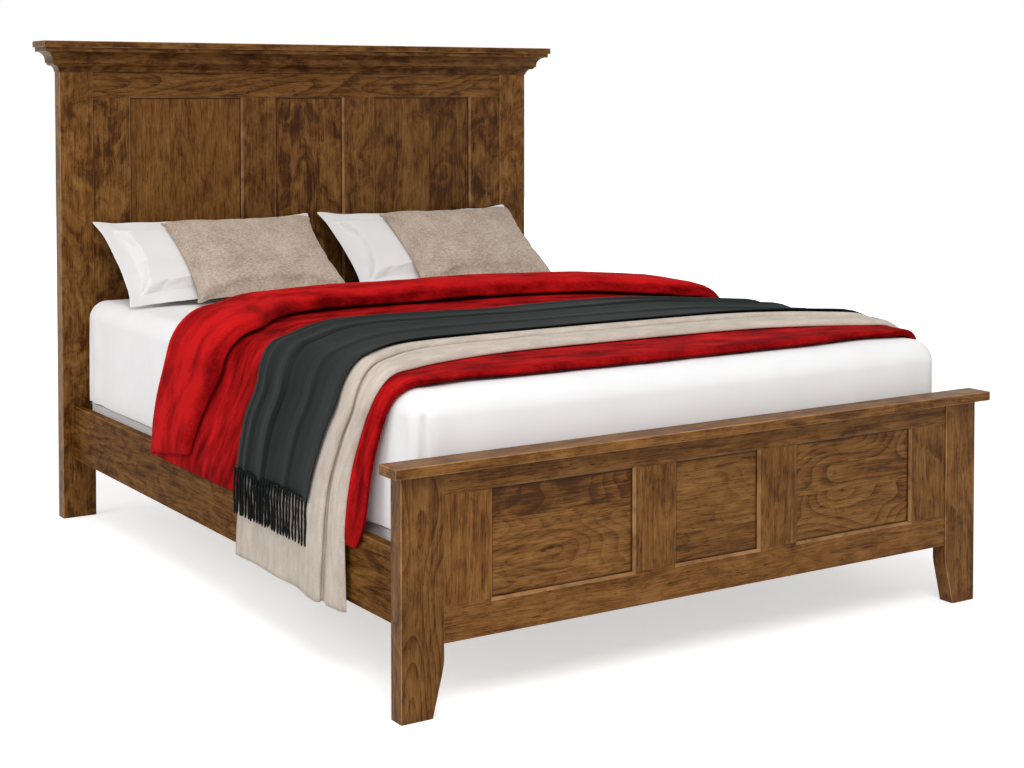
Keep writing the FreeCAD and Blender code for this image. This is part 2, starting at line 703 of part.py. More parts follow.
def make_side_rail(side):
    """Side rail with a seat for a hooked plate in each end and pilot holes for its cleat."""
    inner = f"-{RAIL_INNER}" if side == "left" else RAIL_INNER
    turn = "-" if side == "left" else ""
    body = new_body(f"side_rail_{side}", inner, FOOT_BACK, "rail_clearance")
    front = new_sketch(body, "front", "XZ_Plane")
    draw_rectangle(front, "0", "0", f"{turn}rail_depth", "rail_height")
    pad(body, front, "inside_length")
    middle = f"{turn}rail_depth / 2"
    for name, offset, into in (("foot", "0", 1), ("head", "-inside_length", -1)):
        seat = new_sketch(body, f"{name}_seat", "XZ_Plane", offset)
        foot = f"{PLATE_FOOT} - rail_clearance"
        draw_rectangle(seat, f"{middle} - plate_width / 2", foot, "plate_width", "plate_height")
        pocket(body, seat, "plate_depth", into)
        holes = new_sketch(body, f"{name}_holes", "XZ_Plane", offset)
        for z in plate_screw_heights():
            draw_circle(holes, middle, f"{z} - rail_clearance", "screw_radius")
        pocket(body, holes, "screw_short", into)
    pilots = new_sketch(body, "pilots", "YZ_Plane")
    for number in range(1, CLEAT_SCREWS + 1):
        draw_circle(pilots, cleat_screw_place(number), "cleat_lift + cleat_size / 2", "screw_radius")
    pocket(body, pilots, "screw_medium - cleat_size", SIDES[side])
    outer = f"{turn}rail_depth"
    edges = edges_where(
        body, lambda edge: runs_along(edge, "y") and (at(edge, "x", outer) or at(edge, "x", "0")),
    )
    dress(body, "Chamfer", "ease", edges, "edge_ease")
    return body


def make_cleat(side):
    """Square cleat screwed along the inside of a side rail."""
    inner = f"-{RAIL_INNER}" if side == "left" else RAIL_INNER
    turn = "" if side == "left" else "-"
    body = new_body(f"cleat_{side}", inner, FOOT_BACK, "rail_clearance + cleat_lift")
    front = new_sketch(body, "front", "XZ_Plane", "-cleat_end")
    draw_rectangle(front, "0", "0", f"{turn}cleat_size", "cleat_size")
    pad(body, front, "inside_length - 2 * cleat_end")
    screws = new_sketch(body, "screws", "YZ_Plane", f"{turn}cleat_size")
    sinks = new_sketch(body, "sinks", "YZ_Plane", f"{turn}cleat_size")
    for number in range(1, CLEAT_SCREWS + 1):
        draw_circle(screws, cleat_screw_place(number), "cleat_size / 2", "screw_radius")
        draw_circle(sinks, cleat_screw_place(number), "cleat_size / 2", "screw_head")
    pocket(body, screws, "cleat_size", SIDES[side])
    pocket(body, sinks, "screw_head_height", SIDES[side])
    pilots = new_sketch(body, "pilots", "XY_Plane", "cleat_size")
    for number in range(1, SLATS + 1):
        draw_circle(pilots, f"{turn}(slat_room + cleat_size) / 2", slat_middle(number), "screw_radius")
    pocket(body, pilots, "screw_short - slat_depth", -1)
    return body


def make_slat(number):
    """Slat across the cleats; two of them carry a centre leg."""
    width = f"(2 * {RAIL_INNER} - 2 * slat_room)"
    body = new_body(f"slat_{number}", f"-{RAIL_INNER} + slat_room",
                    f"{FOOT_BACK} + {slat_middle(number)} - slat_width / 2", CLEAT_TOP)
    plan = new_sketch(body, "plan", "XY_Plane")
    draw_rectangle(plan, "0", "0", width, "slat_width")
    pad(body, plan, "slat_depth")
    holes = new_sketch(body, "holes", "XY_Plane", "slat_depth")
    sinks = new_sketch(body, "sinks", "XY_Plane", "slat_depth")
    centres = ["(cleat_size - slat_room) / 2", f"{width} - (cleat_size - slat_room) / 2"]
    if number in LEG_SLATS:
        centres.append(f"{width} / 2")
    for x in centres:
        draw_circle(holes, x, "slat_width / 2", "screw_radius")
        draw_circle(sinks, x, "slat_width / 2", "screw_head")
    pocket(body, holes, "slat_depth", -1)
    pocket(body, sinks, "screw_head_height", -1)
    return body


def make_center_leg(number, slat):
    """Square leg under a slat's middle, bored for its insert and its levelling stem."""
    length = f"({CLEAT_TOP} - {LEG_FOOT})"
    body = new_body(f"center_leg_{number}", "0", f"{FOOT_BACK} + {slat_middle(slat)}", LEG_FOOT)
    plan = new_sketch(body, "plan", "XY_Plane")
    draw_rectangle(plan, "-leg_size / 2", "-leg_size / 2", "leg_size", "leg_size")
    pad(body, plan, length)
    bore = new_sketch(body, "bore", "XY_Plane")
    draw_circle(bore, "0", "0", "stem_radius + 1")
    pocket(body, bore, "stem_length")
    seat = new_sketch(body, "insert_seat", "XY_Plane")
    draw_circle(seat, "0", "0", "insert_radius")
    pocket(body, seat, "insert_length")
    pilot = new_sketch(body, "pilot", "XY_Plane", length)
    draw_circle(pilot, "0", "0", "screw_radius")
    pocket(body, pilot, "screw_long - slat_depth", -1)
    return body


def make_leveller(number, slat):
    """Threaded insert in the leg, and the stem and pad that stand on the floor."""
    y = f"{FOOT_BACK} + {slat_middle(slat)}"
    insert = new_body(f"leveller_insert_{number}", "0", y, LEG_FOOT)
    barrel = new_sketch(insert, "barrel", "XY_Plane")
    draw_circle(barrel, "0", "0", "insert_radius")
    pad(insert, barrel, "insert_length")
    flange = new_sketch(insert, "flange", "XY_Plane")
    draw_circle(flange, "0", "0", "flange_radius")
    pad(insert, flange, "flange_depth", -1)
    bore = new_sketch(insert, "bore", "XY_Plane", "-flange_depth")
    draw_circle(bore, "0", "0", "stem_radius + stem_room")
    pocket(insert, bore, "insert_length + flange_depth")

    stem = new_body(f"leveller_stem_{number}", "0", y, "pad_height - socket_depth + stem_room")
    ball = new_sketch(stem, "ball", "XY_Plane")
    draw_circle(ball, "0", "0", "socket_radius - stem_room")
    pad(stem, ball, "socket_depth")
    nut = new_sketch(stem, "hexagon", "XY_Plane", "socket_depth")
    radius = "hex_size / 2 / cos(30)"
    draw_outline(nut, [(f"{radius} * cos({60 * n})", f"{radius} * sin({60 * n})") for n in range(6)])
    pad(stem, nut, "hex_height")
    rod = new_sketch(stem, "rod", "XY_Plane")
    draw_circle(rod, "0", "0", "stem_radius")
    pad(stem, rod, "socket_depth + stem_length")

    foot = new_body(f"leveller_pad_{number}", "0", y)
    disc = new_sketch(foot, "disc", "XY_Plane")
    draw_circle(disc, "0", "0", "pad_radius")
    pad(foot, disc, "pad_height")
    rim = edges_where(foot, lambda edge: at(edge, "z", "pad_height"))
    dress(foot, "Chamfer", "rim", rim, "pad_height / 3")
    socket = new_sketch(foot, "socket", "XY_Plane", "pad_height")
    draw_circle(socket, "0", "0", "socket_radius")
    pocket(foot, socket, "socket_depth", -1)
    return [insert, stem, foot]


# ---------------------------------------------------------------------------------------------
# Hardware in groups of equal solids
# ---------------------------------------------------------------------------------------------
def group_feature(label, solids):
    """Node of several equal solids, made with part functions from the sheet's sizes."""
    feature = doc.addObject("Part::Feature", label)
    feature.Label = label
    feature.Shape = Part.makeCompound(solids)
    feature.Placement = FreeCAD.Placement()
    return feature


def plate_places():
    """The four rail ends: X of the plate's middle, Y of the joint, and the way into the post."""
    x = size_of(HALF_WIDTH) - size_of(PLATE_MIDDLE)
    ends = ((size_of(FOOT_BACK), -1), (size_of(HEAD_FACE), 1))
    return [(side * x, y, inward) for side in (-1, 1) for y, inward in ends]


def y_box(x, width, y, reach, z, height):
    """Box centred on x, from y by a signed reach, from z up."""
    low = min(y, y + reach)
    return Part.makeBox(width, abs(reach), height, Vector(x - width / 2, low, z))


def plate_screws(x, y, way):
    """The two screws of one plate, flush with its face and driven along way."""
    heights = [size_of(z) for z in plate_screw_heights()]
    return [placed_screw(SIZES["screw_short"], (x, y, z), (0, way, 0)) for z in heights]


def make_post_plates():
    """Slotted steel plates let into the posts."""
    solids = []
    for x, y, inward in plate_places():
        depth = inward * SIZES["plate_depth"]
        plate = y_box(x, SIZES["plate_width"], y, depth, size_of(PLATE_FOOT), SIZES["plate_height"])
        room = SIZES["hook_room"]
        for hook in (-1, 1):
            foot = size_of(hook_foot(hook)) - room
            height = size_of(HOOK_HEIGHT) + 2 * room
            plate = plate.cut(y_box(x, SIZES["hook_width"] + 2 * room, y, depth, foot, height))
        solids.append(plate.cut(plate_screws(x, y, inward)))
    return group_feature("post_slot_plates", solids)


def make_rail_plates():
    """Steel plates let into the rails' ends, each with two hooks that drop behind the post's plate."""
    solids = []
    nose = SIZES["hook_nose"]
    room = SIZES["hook_room"]
    thick = SIZES["plate_depth"]
    for x, y, inward in plate_places():
        plate = y_box(x, SIZES["plate_width"], y, -inward * thick, size_of(PLATE_FOOT), SIZES["plate_height"])
        plate = plate.cut(plate_screws(x, y, -inward))
        for hook in (-1, 1):
            foot = size_of(hook_foot(hook))
            width = SIZES["hook_width"]
            reach = inward * (1.5 * thick + room + nose)
            neck = y_box(x, width, y - inward * thick / 2, reach, foot, size_of(HOOK_HEIGHT))
            behind = y + inward * (thick + room)
            drop = y_box(x, width, behind, inward * nose, foot - size_of(HOOK_DROP), size_of(HOOK_DROP) + 1)
            plate = plate.fuse([neck, drop]).removeSplitter()
        solids.append(plate)
    return group_feature("rail_hook_plates", solids)


def screw_shape(length):
    """Countersunk wood screw, its head's top at the origin and its point towards -Z."""
    radius, head = SIZES["screw_radius"], SIZES["screw_head"]
    rise = SIZES["screw_head_height"]
    point = 3 * radius
    outline = [
        (0, 0), (head, 0), (head, -rise * 0.2), (radius, -rise), (radius, point - length), (0, -length),
    ]
    wire = Part.makePolygon([Vector(x, 0, z) for x, z in outline + outline[:1]])
    return Part.Face(wire).revolve(Vector(0, 0, 0), Vector(0, 0, 1), 360)


def placed_screw(length, head, direction):
    """Screw with its head at a place, driven along a direction."""
    screw = screw_shape(length)
    turn = FreeCAD.Rotation(Vector(0, 0, -1), Vector(*direction))
    screw.Placement = FreeCAD.Placement(Vector(*head), turn)
    return screw


def make_short_screws():
    """Screws through the slats into the cleats, and through the plates into the wood."""
    solids = []
    top = size_of(SLAT_TOP)
    length = SIZES["screw_short"]
    reach = size_of(f"{RAIL_INNER} - (slat_room + cleat_size) / 2")
    for number in range(1, SLATS + 1):
        y = size_of(f"{FOOT_BACK} + {slat_middle(number)}")
        solids += [placed_screw(length, (side * reach, y, top), (0, 0, -1)) for side in (-1, 1)]
    for x, y, inward in plate_places():
        solids += plate_screws(x, y, inward) + plate_screws(x, y, -inward)
    return group_feature("wood_screws", solids)


def make_cleat_screws():
    """Screws through the cleats into the side rails."""
    solids = []
    face = size_of(f"{RAIL_INNER} - cleat_size")
    z = size_of("rail_clearance + cleat_lift + cleat_size / 2")
    for side in (-1, 1):
        for number in range(1, CLEAT_SCREWS + 1):
            y = size_of(f"{FOOT_BACK} + {cleat_screw_place(number)}")
            solids.append(placed_screw(SIZES["screw_medium"], (side * face, y, z), (side, 0, 0)))
    return group_feature("cleat_screws", solids)


def make_leg_screws():
    """Long screws through the slats into the centre legs."""
    solids = []
    for slat in LEG_SLATS:
        y = size_of(f"{FOOT_BACK} + {slat_middle(slat)}")
        solids.append(placed_screw(SIZES["screw_long"], (0, y, size_of(SLAT_TOP)), (0, 0, -1)))
    return group_feature("leg_screws", solids)


# ---------------------------------------------------------------------------------------------
# Foundation and mattress
# ---------------------------------------------------------------------------------------------
def draw_rounded_rectangle(sketch, x, y, width, height, radius):
    """Rectangle centred on (x, y) with round corners."""
    right, top = f"({x}) + ({width}) / 2", f"({y}) + ({height}) / 2"
    left, foot = f"({x}) - ({width}) / 2", f"({y}) - ({height}) / 2"
    corners = [
        (f"{left} + {radius}", foot), (f"{right} - {radius}", foot),
        (right, f"{foot} + {radius}"), (right, f"{top} - {radius}"),
        (f"{right} - {radius}", top), (f"{left} + {radius}", top),
        (left, f"{top} - {radius}"), (left, f"{foot} + {radius}"),
    ]
    short = f"{radius} * {1 - math.sqrt(0.5)}"
    middles = {
        1: (f"{right} - {short}", f"{foot} + {short}"), 3: (f"{right} - {short}", f"{top} - {short}"),
        5: (f"{left} + {short}", f"{top} - {short}"), 7: (f"{left} + {short}", f"{foot} + {short}"),
    }
    draw_outline(sketch, corners, {edge: (middle, radius) for edge, middle in middles.items()})


def make_padded_block(label, z, width, length, height, corner, top_round, foot_round):
    """Block with round upright corners and rounded upper and lower edges."""
    body = new_body(label, "0", f"{FOOT_BACK} + inside_length / 2", z)
    plan = new_sketch(body, "plan", "XY_Plane")
    draw_rounded_rectangle(plan, "0", "0", width, length, corner)
    pad(body, plan, height)
    dress(body, "Fillet", "top", edges_where(body, lambda edge: at(edge, "z", height)), top_round)
    dress(body, "Fillet", "foot", edges_where(body, lambda edge: at(edge, "z", "0")), foot_round)
    return body


# ---------------------------------------------------------------------------------------------
# Pillows: outlines stacked from the back crown to the front crown, then leant on the headboard
# ---------------------------------------------------------------------------------------------
# share of the crown's height, share of the outline's size, share of the drawn-in sides that is left
CROWN_STEPS = ((0.0, 1.0, 1.0), (0.36, 0.94, 0.2), (0.72, 0.78, -1.0), (1.0, 0.45, -2.0))


def pillow_outline(half_width, half_height, draw, corner, depth):
    """Outline of four side arcs and four corner arcs in the pillow's own plane."""
    a, b, c = half_width, half_height, corner
    short = c * (1 - math.sqrt(0.5))
    spots = [
        ((a - c, -b), (a - short, short - b), (a, c - b)), ((a, c - b), (a - draw, 0), (a, b - c)),
        ((a, b - c), (a - short, b - short), (a - c, b)), ((a - c, b), (0, b - draw), (c - a, b)),
        ((c - a, b), (short - a, b - short), (-a, b - c)), ((-a, b - c), (draw - a, 0), (-a, c - b)),
        ((-a, c - b), (short - a, short - b), (c - a, -b)), ((c - a, -b), (0, draw - b), (a - c, -b)),
    ]
    arcs = [Part.Arc(*(Vector(x, y, depth) for x, y in spot)).toShape() for spot in spots]
    return Part.Wire(arcs)


def pillow_crown(width, height, draw, crown):
    """Half of a pillow: from its seam's plane to its crown, along +Z or -Z."""
    wires = []
    for rise, share, drawn in CROWN_STEPS:
        corner = (0.05 + 0.3 * rise) * height / 2
        half_width, half_height = width / 2 * share, height / 2 * share
        wires.append(pillow_outline(half_width, half_height, draw * drawn, corner, crown * rise))
    return Part.makeLoft(wires, True, False)


def lean_placement(x, start):
    """Pillow's own frame: X across, Y up its lean, with its lower edge's middle at start along Y."""
    lean = FreeCAD.Rotation(Vector(1, 0, 0), size_of("pillow_lean"))
    return FreeCAD.Placement(Vector(x, start, size_of(MATTRESS_TOP)), lean)


def above_mattress(shape):
    """Cut a leaning pillow flat where it rests on the mattress."""
    floor = size_of(MATTRESS_TOP) + SIZES["soft_gap"]
    box = shape.BoundBox
    room = 50
    keep = Part.makeBox(box.XLength + 2 * room, box.YLength + 2 * room, box.ZLength + 2 * room,
                        Vector(box.XMin - room, box.YMin - room, floor))
    return shape.common(keep)


def sham_start():
    """Y of the sham's lower edge, so that its upper corners rest on the headboard's posts."""
    rise = math.radians(SIZES["pillow_lean"])
    reach = SIZES["sham_height"] * math.cos(rise) + SIZES["flange_thickness"] * math.sin(rise)
    return size_of(HEAD_FACE) - SIZES["soft_gap"] - reach


def make_sham(side):
    """White sham: a crowned pillow with a flat border, drawn in between its corners."""
    outer = size_of(f"{MATTRESS_WIDTH} / 2 - sham_inset")
    x = SIDES[side] * (outer + SIZES["sham_gap"]) / 2
    width, height = outer - SIZES["sham_gap"], SIZES["sham_height"]
    flange, draw = SIZES["sham_flange"], SIZES["drawn_in"]
    inner = (width - 2 * flange, height - 2 * flange)
    border = Part.Face(pillow_outline(width / 2, height / 2, draw, flange / 2, 0))
    border = border.extrude(Vector(0, 0, -SIZES["flange_thickness"]))
    front = pillow_crown(*inner, draw, SIZES["sham_front"])
    back = pillow_crown(*inner, draw, -SIZES["sham_back"])
    sham = border.fuse([front, back])
    sham.translate(Vector(0, height / 2, 0))
    sham.Placement = lean_placement(x, sham_start()).multiply(sham.Placement)
    return soft_feature(f"sham_{side}", above_mattress(sham))


def make_cushion(side):
    """Taupe pillow that leans on the sham behind it."""
    x = SIZES[f"cushion_{side}"] * size_of(MATTRESS_WIDTH) / 2
    width, height, draw = SIZES["cushion_width"], SIZES["cushion_height"], SIZES["drawn_in"]
    front = pillow_crown(width, height, draw, SIZES["cushion_front"])
    back = pillow_crown(width, height, draw, -SIZES["cushion_back"])
    cushion = front.fuse(back)
    apart = SIZES["sham_front"] + SIZES["cushion_back"] + SIZES["soft_gap"]
    cushion.translate(Vector(0, height / 2, 0))
    start = sham_start() - apart / math.sin(math.radians(SIZES["pillow_lean"]))
    cushion.Placement = lean_placement(x, start).multiply(cushion.Placement)
    return soft_feature(f"cushion_{side}", above_mattress(cushion))


def soft_feature(label, shape):
    """Soft node from a single solid made with part functions."""
    solids = shape.Solids
    if len(solids) != 1:
        raise ValueError(f"{label} has {len(solids)} solids")
    feature = doc.addObject("Part::Feature", label)
    feature.Label = label
    feature.Shape = solids[0]
    feature.Placement = FreeCAD.Placement()
    return feature


# ---------------------------------------------------------------------------------------------
# Blanket and throws: sections at stations of the way over the bed, from one hem to the other
# ---------------------------------------------------------------------------------------------
CORNER_STEPS = 4


def drape_stations(hem):
    """Stations over the bed: place (X, Z), angle of the outward normal, and the edges' weights.

    The weights are the shares of an edge's place over the middle, at the top edge and at the hem.
    """
    gap = SIZES["soft_gap"]
    side_x = size_of(MATTRESS_WIDTH) / 2 + gap
    rail_x = size_of(RAIL_OUTER) + gap
    rail_top = SIZES["rail_clearance"] + SIZES["rail_height"] + gap
    top = size_of(MATTRESS_TOP) + gap
    crown = SIZES["mattress_crown"]
    centre = (side_x - gap - crown, top - gap - crown)
    slant = math.atan2(rail_x - side_x, centre[1] - rail_top)
    half = [((rail_x, hem), 0.0, (0, 0, 1))]
    if hem < rail_top - 5:
        half.append(((rail_x, rail_top), slant / 2, (0, 0.15, 0.85)))
    half.append(((side_x, centre[1]), slant / 2, (0, 0.85, 0.15)))
    # corners of straight lines that touch the mattress's rounding from outside
    step = math.pi / 2 / CORNER_STEPS
    radius = (crown + gap) / math.cos(step / 2)
    for number in range(CORNER_STEPS):
        angle = (number + 0.5) * step
        spot = (centre[0] + radius * math.cos(angle), centre[1] + radius * math.sin(angle))
        half.append((spot, angle, (0, 1, 0)))
    half.append(((centre[0], top), math.pi / 2, (0.25, 0.75, 0)))
    half.append(((centre[0] * 0.62, top), math.pi / 2, (0.9, 0.1, 0)))
    middle = ((0.0, top), math.pi / 2, (1, 0, 0))
    right = half + [middle]
    left = [((-x, z), math.pi - angle, weights) for (x, z), angle, weights in reversed(half)]
    return right + left


def edge_at(places, weights):
    """Y of a cloth's edge at a station, from its three given places."""
    share = sum(place * weight for place, weight in zip(places, weights))
    return size_of(FOOT_BACK) + share * SIZES["inside_length"]


def thinned(z):
    """Share of a cloth's thickness at a height: full over the bed, and less where it hangs."""
    low = SIZES["rail_clearance"] + SIZES["rail_height"]
    high = size_of(MATTRESS_TOP) - SIZES["mattress_crown"]
    rise = min(1, max(0, (z - low) / (high - low)))
    return SIZES["hem_share"] + (1 - SIZES["hem_share"]) * rise


def drape(stations, section):
    """Loft through one section per station. section gives (y, height) outline edges."""
    wires = []
    for (x, z), angle, weights, share in stations:
        def spot(point):
            y, height = point
            return Vector(x + height * math.cos(angle), y, z + height * math.sin(angle))
        edges = []
        for points in section(weights, share):
            ends = [spot(point) for point in points]
            edges.append(Part.LineSegment(*ends).toShape() if len(ends) == 2 else Part.Arc(*ends).toShape())
        wires.append(Part.Wire(edges))
    return Part.makeLoft(wires, True, True)


def blanket_section(weights, share):
    """Red blanket: a flat layer, and at its head side a thick roll behind a crease."""
    foot, crease, head = (edge_at(BLANKET_EDGES[name], weights) for name in ("foot", "crease", "head"))
    layer = SIZES["blanket_thickness"] * share
    roll = SIZES["roll_thickness"] * (1 - 0.2 * weights[1]) * share
    round_in = layer / 2
    top = crease + (head - crease) * 0.42
    return [
        ((foot, 0), (head, 0)),
        ((head, 0), (head + roll * 0.22, roll * 0.42), (head - roll * 0.25, roll * 0.86)),
        ((head - roll * 0.25, roll * 0.86), ((top + head) / 2 - roll * 0.2, roll * 0.985), (top, roll)),
        ((top, roll), (crease + (top - crease) * 0.25, roll * 0.85), (crease, layer)),
        ((crease, layer), (foot + round_in, layer)),
        ((foot + round_in, layer), (foot - round_in * 0.3, layer * 0.6), (foot, 0)),
    ]


def throw_section(weights, share):
    """Beige throw: two soft bands with a pleat between them, and a flat part under the next throw."""
    foot, pleat, head = (edge_at(THROW_EDGES[name], weights) for name in ("foot", "pleat", "head"))
    cover = edge_at(WRAP_EDGES["foot"], weights)
    layer = SIZES["throw_thickness"] * share
    low = layer * 0.55
    return [
        ((foot, 0), (head, 0)),
        ((head, 0), (head + layer * 0.3, layer * 0.5), (head, layer)),
        ((head, layer), (cover, layer)),
        ((cover, layer), ((cover + pleat) / 2, layer * 1.1), (pleat, low)),
        ((pleat, low), ((foot + pleat) / 2, layer * 1.15), (foot + layer * 0.4, layer * 0.7)),
        ((foot + layer * 0.4, layer * 0.7), (foot - layer * 0.1, layer * 0.4), (foot, 0)),
    ]


# the charcoal throw's lengthwise folds: where each trough lies between its edges
FOLD_TROUGHS = (0.0, 0.3, 0.46, 0.66, 0.82, 1.0)


def wrap_section(weights, share):
    """Charcoal throw: soft folds that run its whole length."""
    foot, head = (edge_at(WRAP_EDGES[name], weights) for name in ("foot", "head"))
    layer, fold = SIZES["wrap_thickness"] * share, SIZES["wrap_fold"]
    troughs = [foot + (head - foot) * share for share in FOLD_TROUGHS]
    edges = [((foot, 0), (head, 0)), ((head, 0), (head, layer))]
    for high, low in zip(troughs[:0:-1], troughs[-2::-1]):
        width = high - low
        rise = fold * min(1, width / (0.2 * (head - foot)))
        edges.append(((high, layer), ((high + low) / 2, layer + rise), (low, layer)))
    edges.append(((foot, layer), (foot, 0)))
    return edges


def layer_stations(hem, below=()):
    """Stations of a cloth moved outwards by the thicknesses of the cloths below it."""
    stations = []
    for (x, z), angle, weights in drape_stations(hem):
        share = thinned(z)
        height = sum(thickness * share + SIZES["soft_gap"] for thickness in below)
        spot = (x + height * math.cos(angle), z + height * math.sin(angle))
        stations.append((spot, angle, weights, share))
    return stations


def make_cloths():
    """Red blanket, beige throw, charcoal throw and its fringe, each over the one before."""
    layers = [SIZES["blanket_thickness"], SIZES["throw_thickness"]]
    blanket = drape(layer_stations(SIZES["blanket_hem"]), blanket_section)
    throw = drape(layer_stations(SIZES["throw_hem"], layers[:1]), throw_section)
    wrap_stations = layer_stations(SIZES["wrap_hem"], layers)
    wrap = drape(wrap_stations, wrap_section)
    features = [
        soft_feature("red_blanket", blanket),
        soft_feature("beige_throw", throw),
        soft_feature("charcoal_throw", wrap),
    ]
    foot, head = (edge_at(WRAP_EDGES[name], (0, 0, 1)) for name in ("foot", "head"))
    thick, drop = SIZES["fringe_thickness"], SIZES["fringe_length"]
    inner = wrap_stations[0][0][0]
    bands = []
    for low in (inner, -inner - thick):
        corner = Vector(low, foot, SIZES["wrap_hem"] - drop)
        bands.append(Part.makeBox(thick, head - foot, drop, corner))
    features.append(group_feature("charcoal_fringe", bands))
    return features


# ---------------------------------------------------------------------------------------------
# The whole bed
# ---------------------------------------------------------------------------------------------
def make_bed():
    nodes = []
    for side in ("left", "right"):
        nodes += [make_foot_post(side), make_head_post(side)]
    foot_top = f"({FOOT_POST_TOP} - foot_top_rail)"
    head_top = f"({HEAD_POST_TOP} - head_top_rail)"
    foot_rails = [("foot_clearance", "foot_bottom_rail"), (foot_top, "foot_top_rail")]
    head_rails = [("head_clearance", "head_bottom_rail"), (head_top, "head_top_rail")]
    nodes += make_panelled_end("footboard", FOOT_FACE, foot_rails)
    nodes += make_panelled_end("headboard", HEAD_FACE, head_rails)
    nodes.append(make_cap("footboard_cap", FOOT_FACE, FOOT_POST_TOP, "foot_cap_depth", "foot_cap_overhang"))
    nodes.append(make_cap("headboard_cap", HEAD_FACE, HEAD_POST_TOP, "head_cap_depth", "head_cap_overhang"))
    nodes += [make_crown_front(), make_crown_return("left"), make_crown_return("right")]
    for side in ("left", "right"):
        nodes += [make_side_rail(side), make_cleat(side)]
    nodes += [make_slat(number) for number in range(1, SLATS + 1)]
    for number, slat in enumerate(LEG_SLATS, 1):
        nodes.append(make_center_leg(number, slat))
        nodes += make_leveller(number, slat)
    nodes += [make_post_plates(), make_rail_plates()]
    nodes += [make_short_screws(), make_cleat_screws(), make_leg_screws()]
    nodes.append(make_padded_block(
        "foundation", f"({SLAT_TOP} + soft_gap)", f"{MATTRESS_WIDTH} - 2 * foundation_inset",
        f"{MATTRESS_LENGTH} - 2 * foundation_inset", "foundation_height", "foundation_corner",
        "foundation_round", "foundation_round",
    ))
    nodes.append(make_padded_block(
        "mattress", MATTRESS_FOOT, MATTRESS_WIDTH, MATTRESS_LENGTH, "mattress_height",
        "mattress_corner", "mattress_crown", "mattress_foot_round",
    ))
    for side in ("left", "right"):
        nodes += [make_sham(side), make_cushion(side)]
    nodes += make_cloths()
    return nodes


def check(nodes):
    """Stop if anything failed to build or is not a valid shape."""
    for item in doc.Objects:
        if any(word in item.State for word in ("Invalid", "Error")):
            raise ValueError(f"{item.Name}: {item.State}")
    labels = [node.Label for node in nodes]
    if len(set(labels)) != len(labels):
        raise ValueError("two nodes share a name")
    for node in nodes:
        if node.Shape.isNull() or not node.Shape.isValid() or not node.Shape.Solids:
            raise ValueError(f"{node.Label} has no valid shape")


bed = make_bed()
doc.recompute()
check(bed)
os.makedirs("parts", exist_ok=True)
for node in bed:
    node.Shape.exportStep(f"parts/{node.Label}.step")
print(f"{len(bed)} nodes written")
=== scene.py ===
import functools
import math

import bmesh
import bpy
from mathutils import Matrix, Vector, kdtree, noise


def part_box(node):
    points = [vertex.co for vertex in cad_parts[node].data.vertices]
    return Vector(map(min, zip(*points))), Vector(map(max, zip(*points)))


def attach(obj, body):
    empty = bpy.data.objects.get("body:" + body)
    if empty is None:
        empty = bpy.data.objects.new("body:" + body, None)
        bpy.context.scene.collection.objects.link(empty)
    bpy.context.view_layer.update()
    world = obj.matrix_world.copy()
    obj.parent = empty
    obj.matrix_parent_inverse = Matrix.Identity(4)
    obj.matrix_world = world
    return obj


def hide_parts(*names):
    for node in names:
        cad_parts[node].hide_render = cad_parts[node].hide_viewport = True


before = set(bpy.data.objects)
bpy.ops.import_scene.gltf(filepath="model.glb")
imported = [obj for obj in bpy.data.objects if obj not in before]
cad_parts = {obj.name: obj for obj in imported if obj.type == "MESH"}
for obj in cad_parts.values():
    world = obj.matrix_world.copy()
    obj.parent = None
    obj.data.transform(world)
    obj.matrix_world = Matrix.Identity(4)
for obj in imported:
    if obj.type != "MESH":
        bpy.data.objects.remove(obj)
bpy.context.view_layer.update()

bl_info = {
    "name": "Panel Bed with Bedding",
    "version": (1, 0, 0),
    "blender": (4, 5, 0),
    "location": "3D View > Sidebar > Panel Bed",
    "description": "Finishes the panel bed's woodwork and hardware and makes its bedding",
    "category": "Object",
}


# --------------------------------------------------------------------------------------------
# Colours, nodes and small helpers
# --------------------------------------------------------------------------------------------
def linear(hex_colour):
    """Linear red, green and blue of an sRGB hex value."""
    parts = [int(hex_colour[start:start + 2], 16) / 255 for start in (1, 3, 5)]
    return tuple(p / 12.92 if p <= 0.04045 else ((p + 0.055) / 1.055) ** 2.4 for p in parts)


def shaded(colour, share=1.0):
    """Colour as a node socket takes it, darkened or lightened by a share."""
    return tuple(min(1, part * share) for part in colour) + (1.0,)


def shades(colour, *stops):
    """Ramp stops of one colour, from (place, share) pairs."""
    return [(place, shaded(colour, share)) for place, share in stops]


def dark_to_light(dark, light, places):
    """Ramp stops from a dark colour through the one halfway to a light one."""
    middle = tuple((a + b) / 2 for a, b in zip(dark, light))
    return [(place, shaded(colour)) for place, colour in zip(places, (dark, middle, light))]


def add_node(tree, kind, inputs=(), out=0, stops=(), **settings):
    """Add a shader node and give one of its outputs, or all of them where out is None.

    inputs are values, or the sockets that feed them, in the node's order or by their names,
    stops are a colour ramp's (place, colour) pairs, and settings are the node's own.
    """
    node = tree.nodes.new("ShaderNode" + kind)
    for name, value in settings.items():
        setattr(node, name, value)
    for name, value in inputs.items() if isinstance(inputs, dict) else enumerate(inputs):
        if isinstance(value, bpy.types.NodeSocket):
            tree.links.new(value, node.inputs[name])
        else:
            node.inputs[name].default_value = value
    if stops:
        elements = node.color_ramp.elements
        while len(elements) < len(stops):
            elements.new(0.5)
        for element, (place, colour) in zip(elements, stops):
            element.position, element.color = place, colour
    return node.outputs if out is None else node.outputs[out]


def new_material(name):
    """Empty node material, and what adds a node to it."""
    material = bpy.data.materials.new(name)
    material.use_nodes = True
    material.node_tree.nodes.clear()
    return material, functools.partial(add_node, material.node_tree)


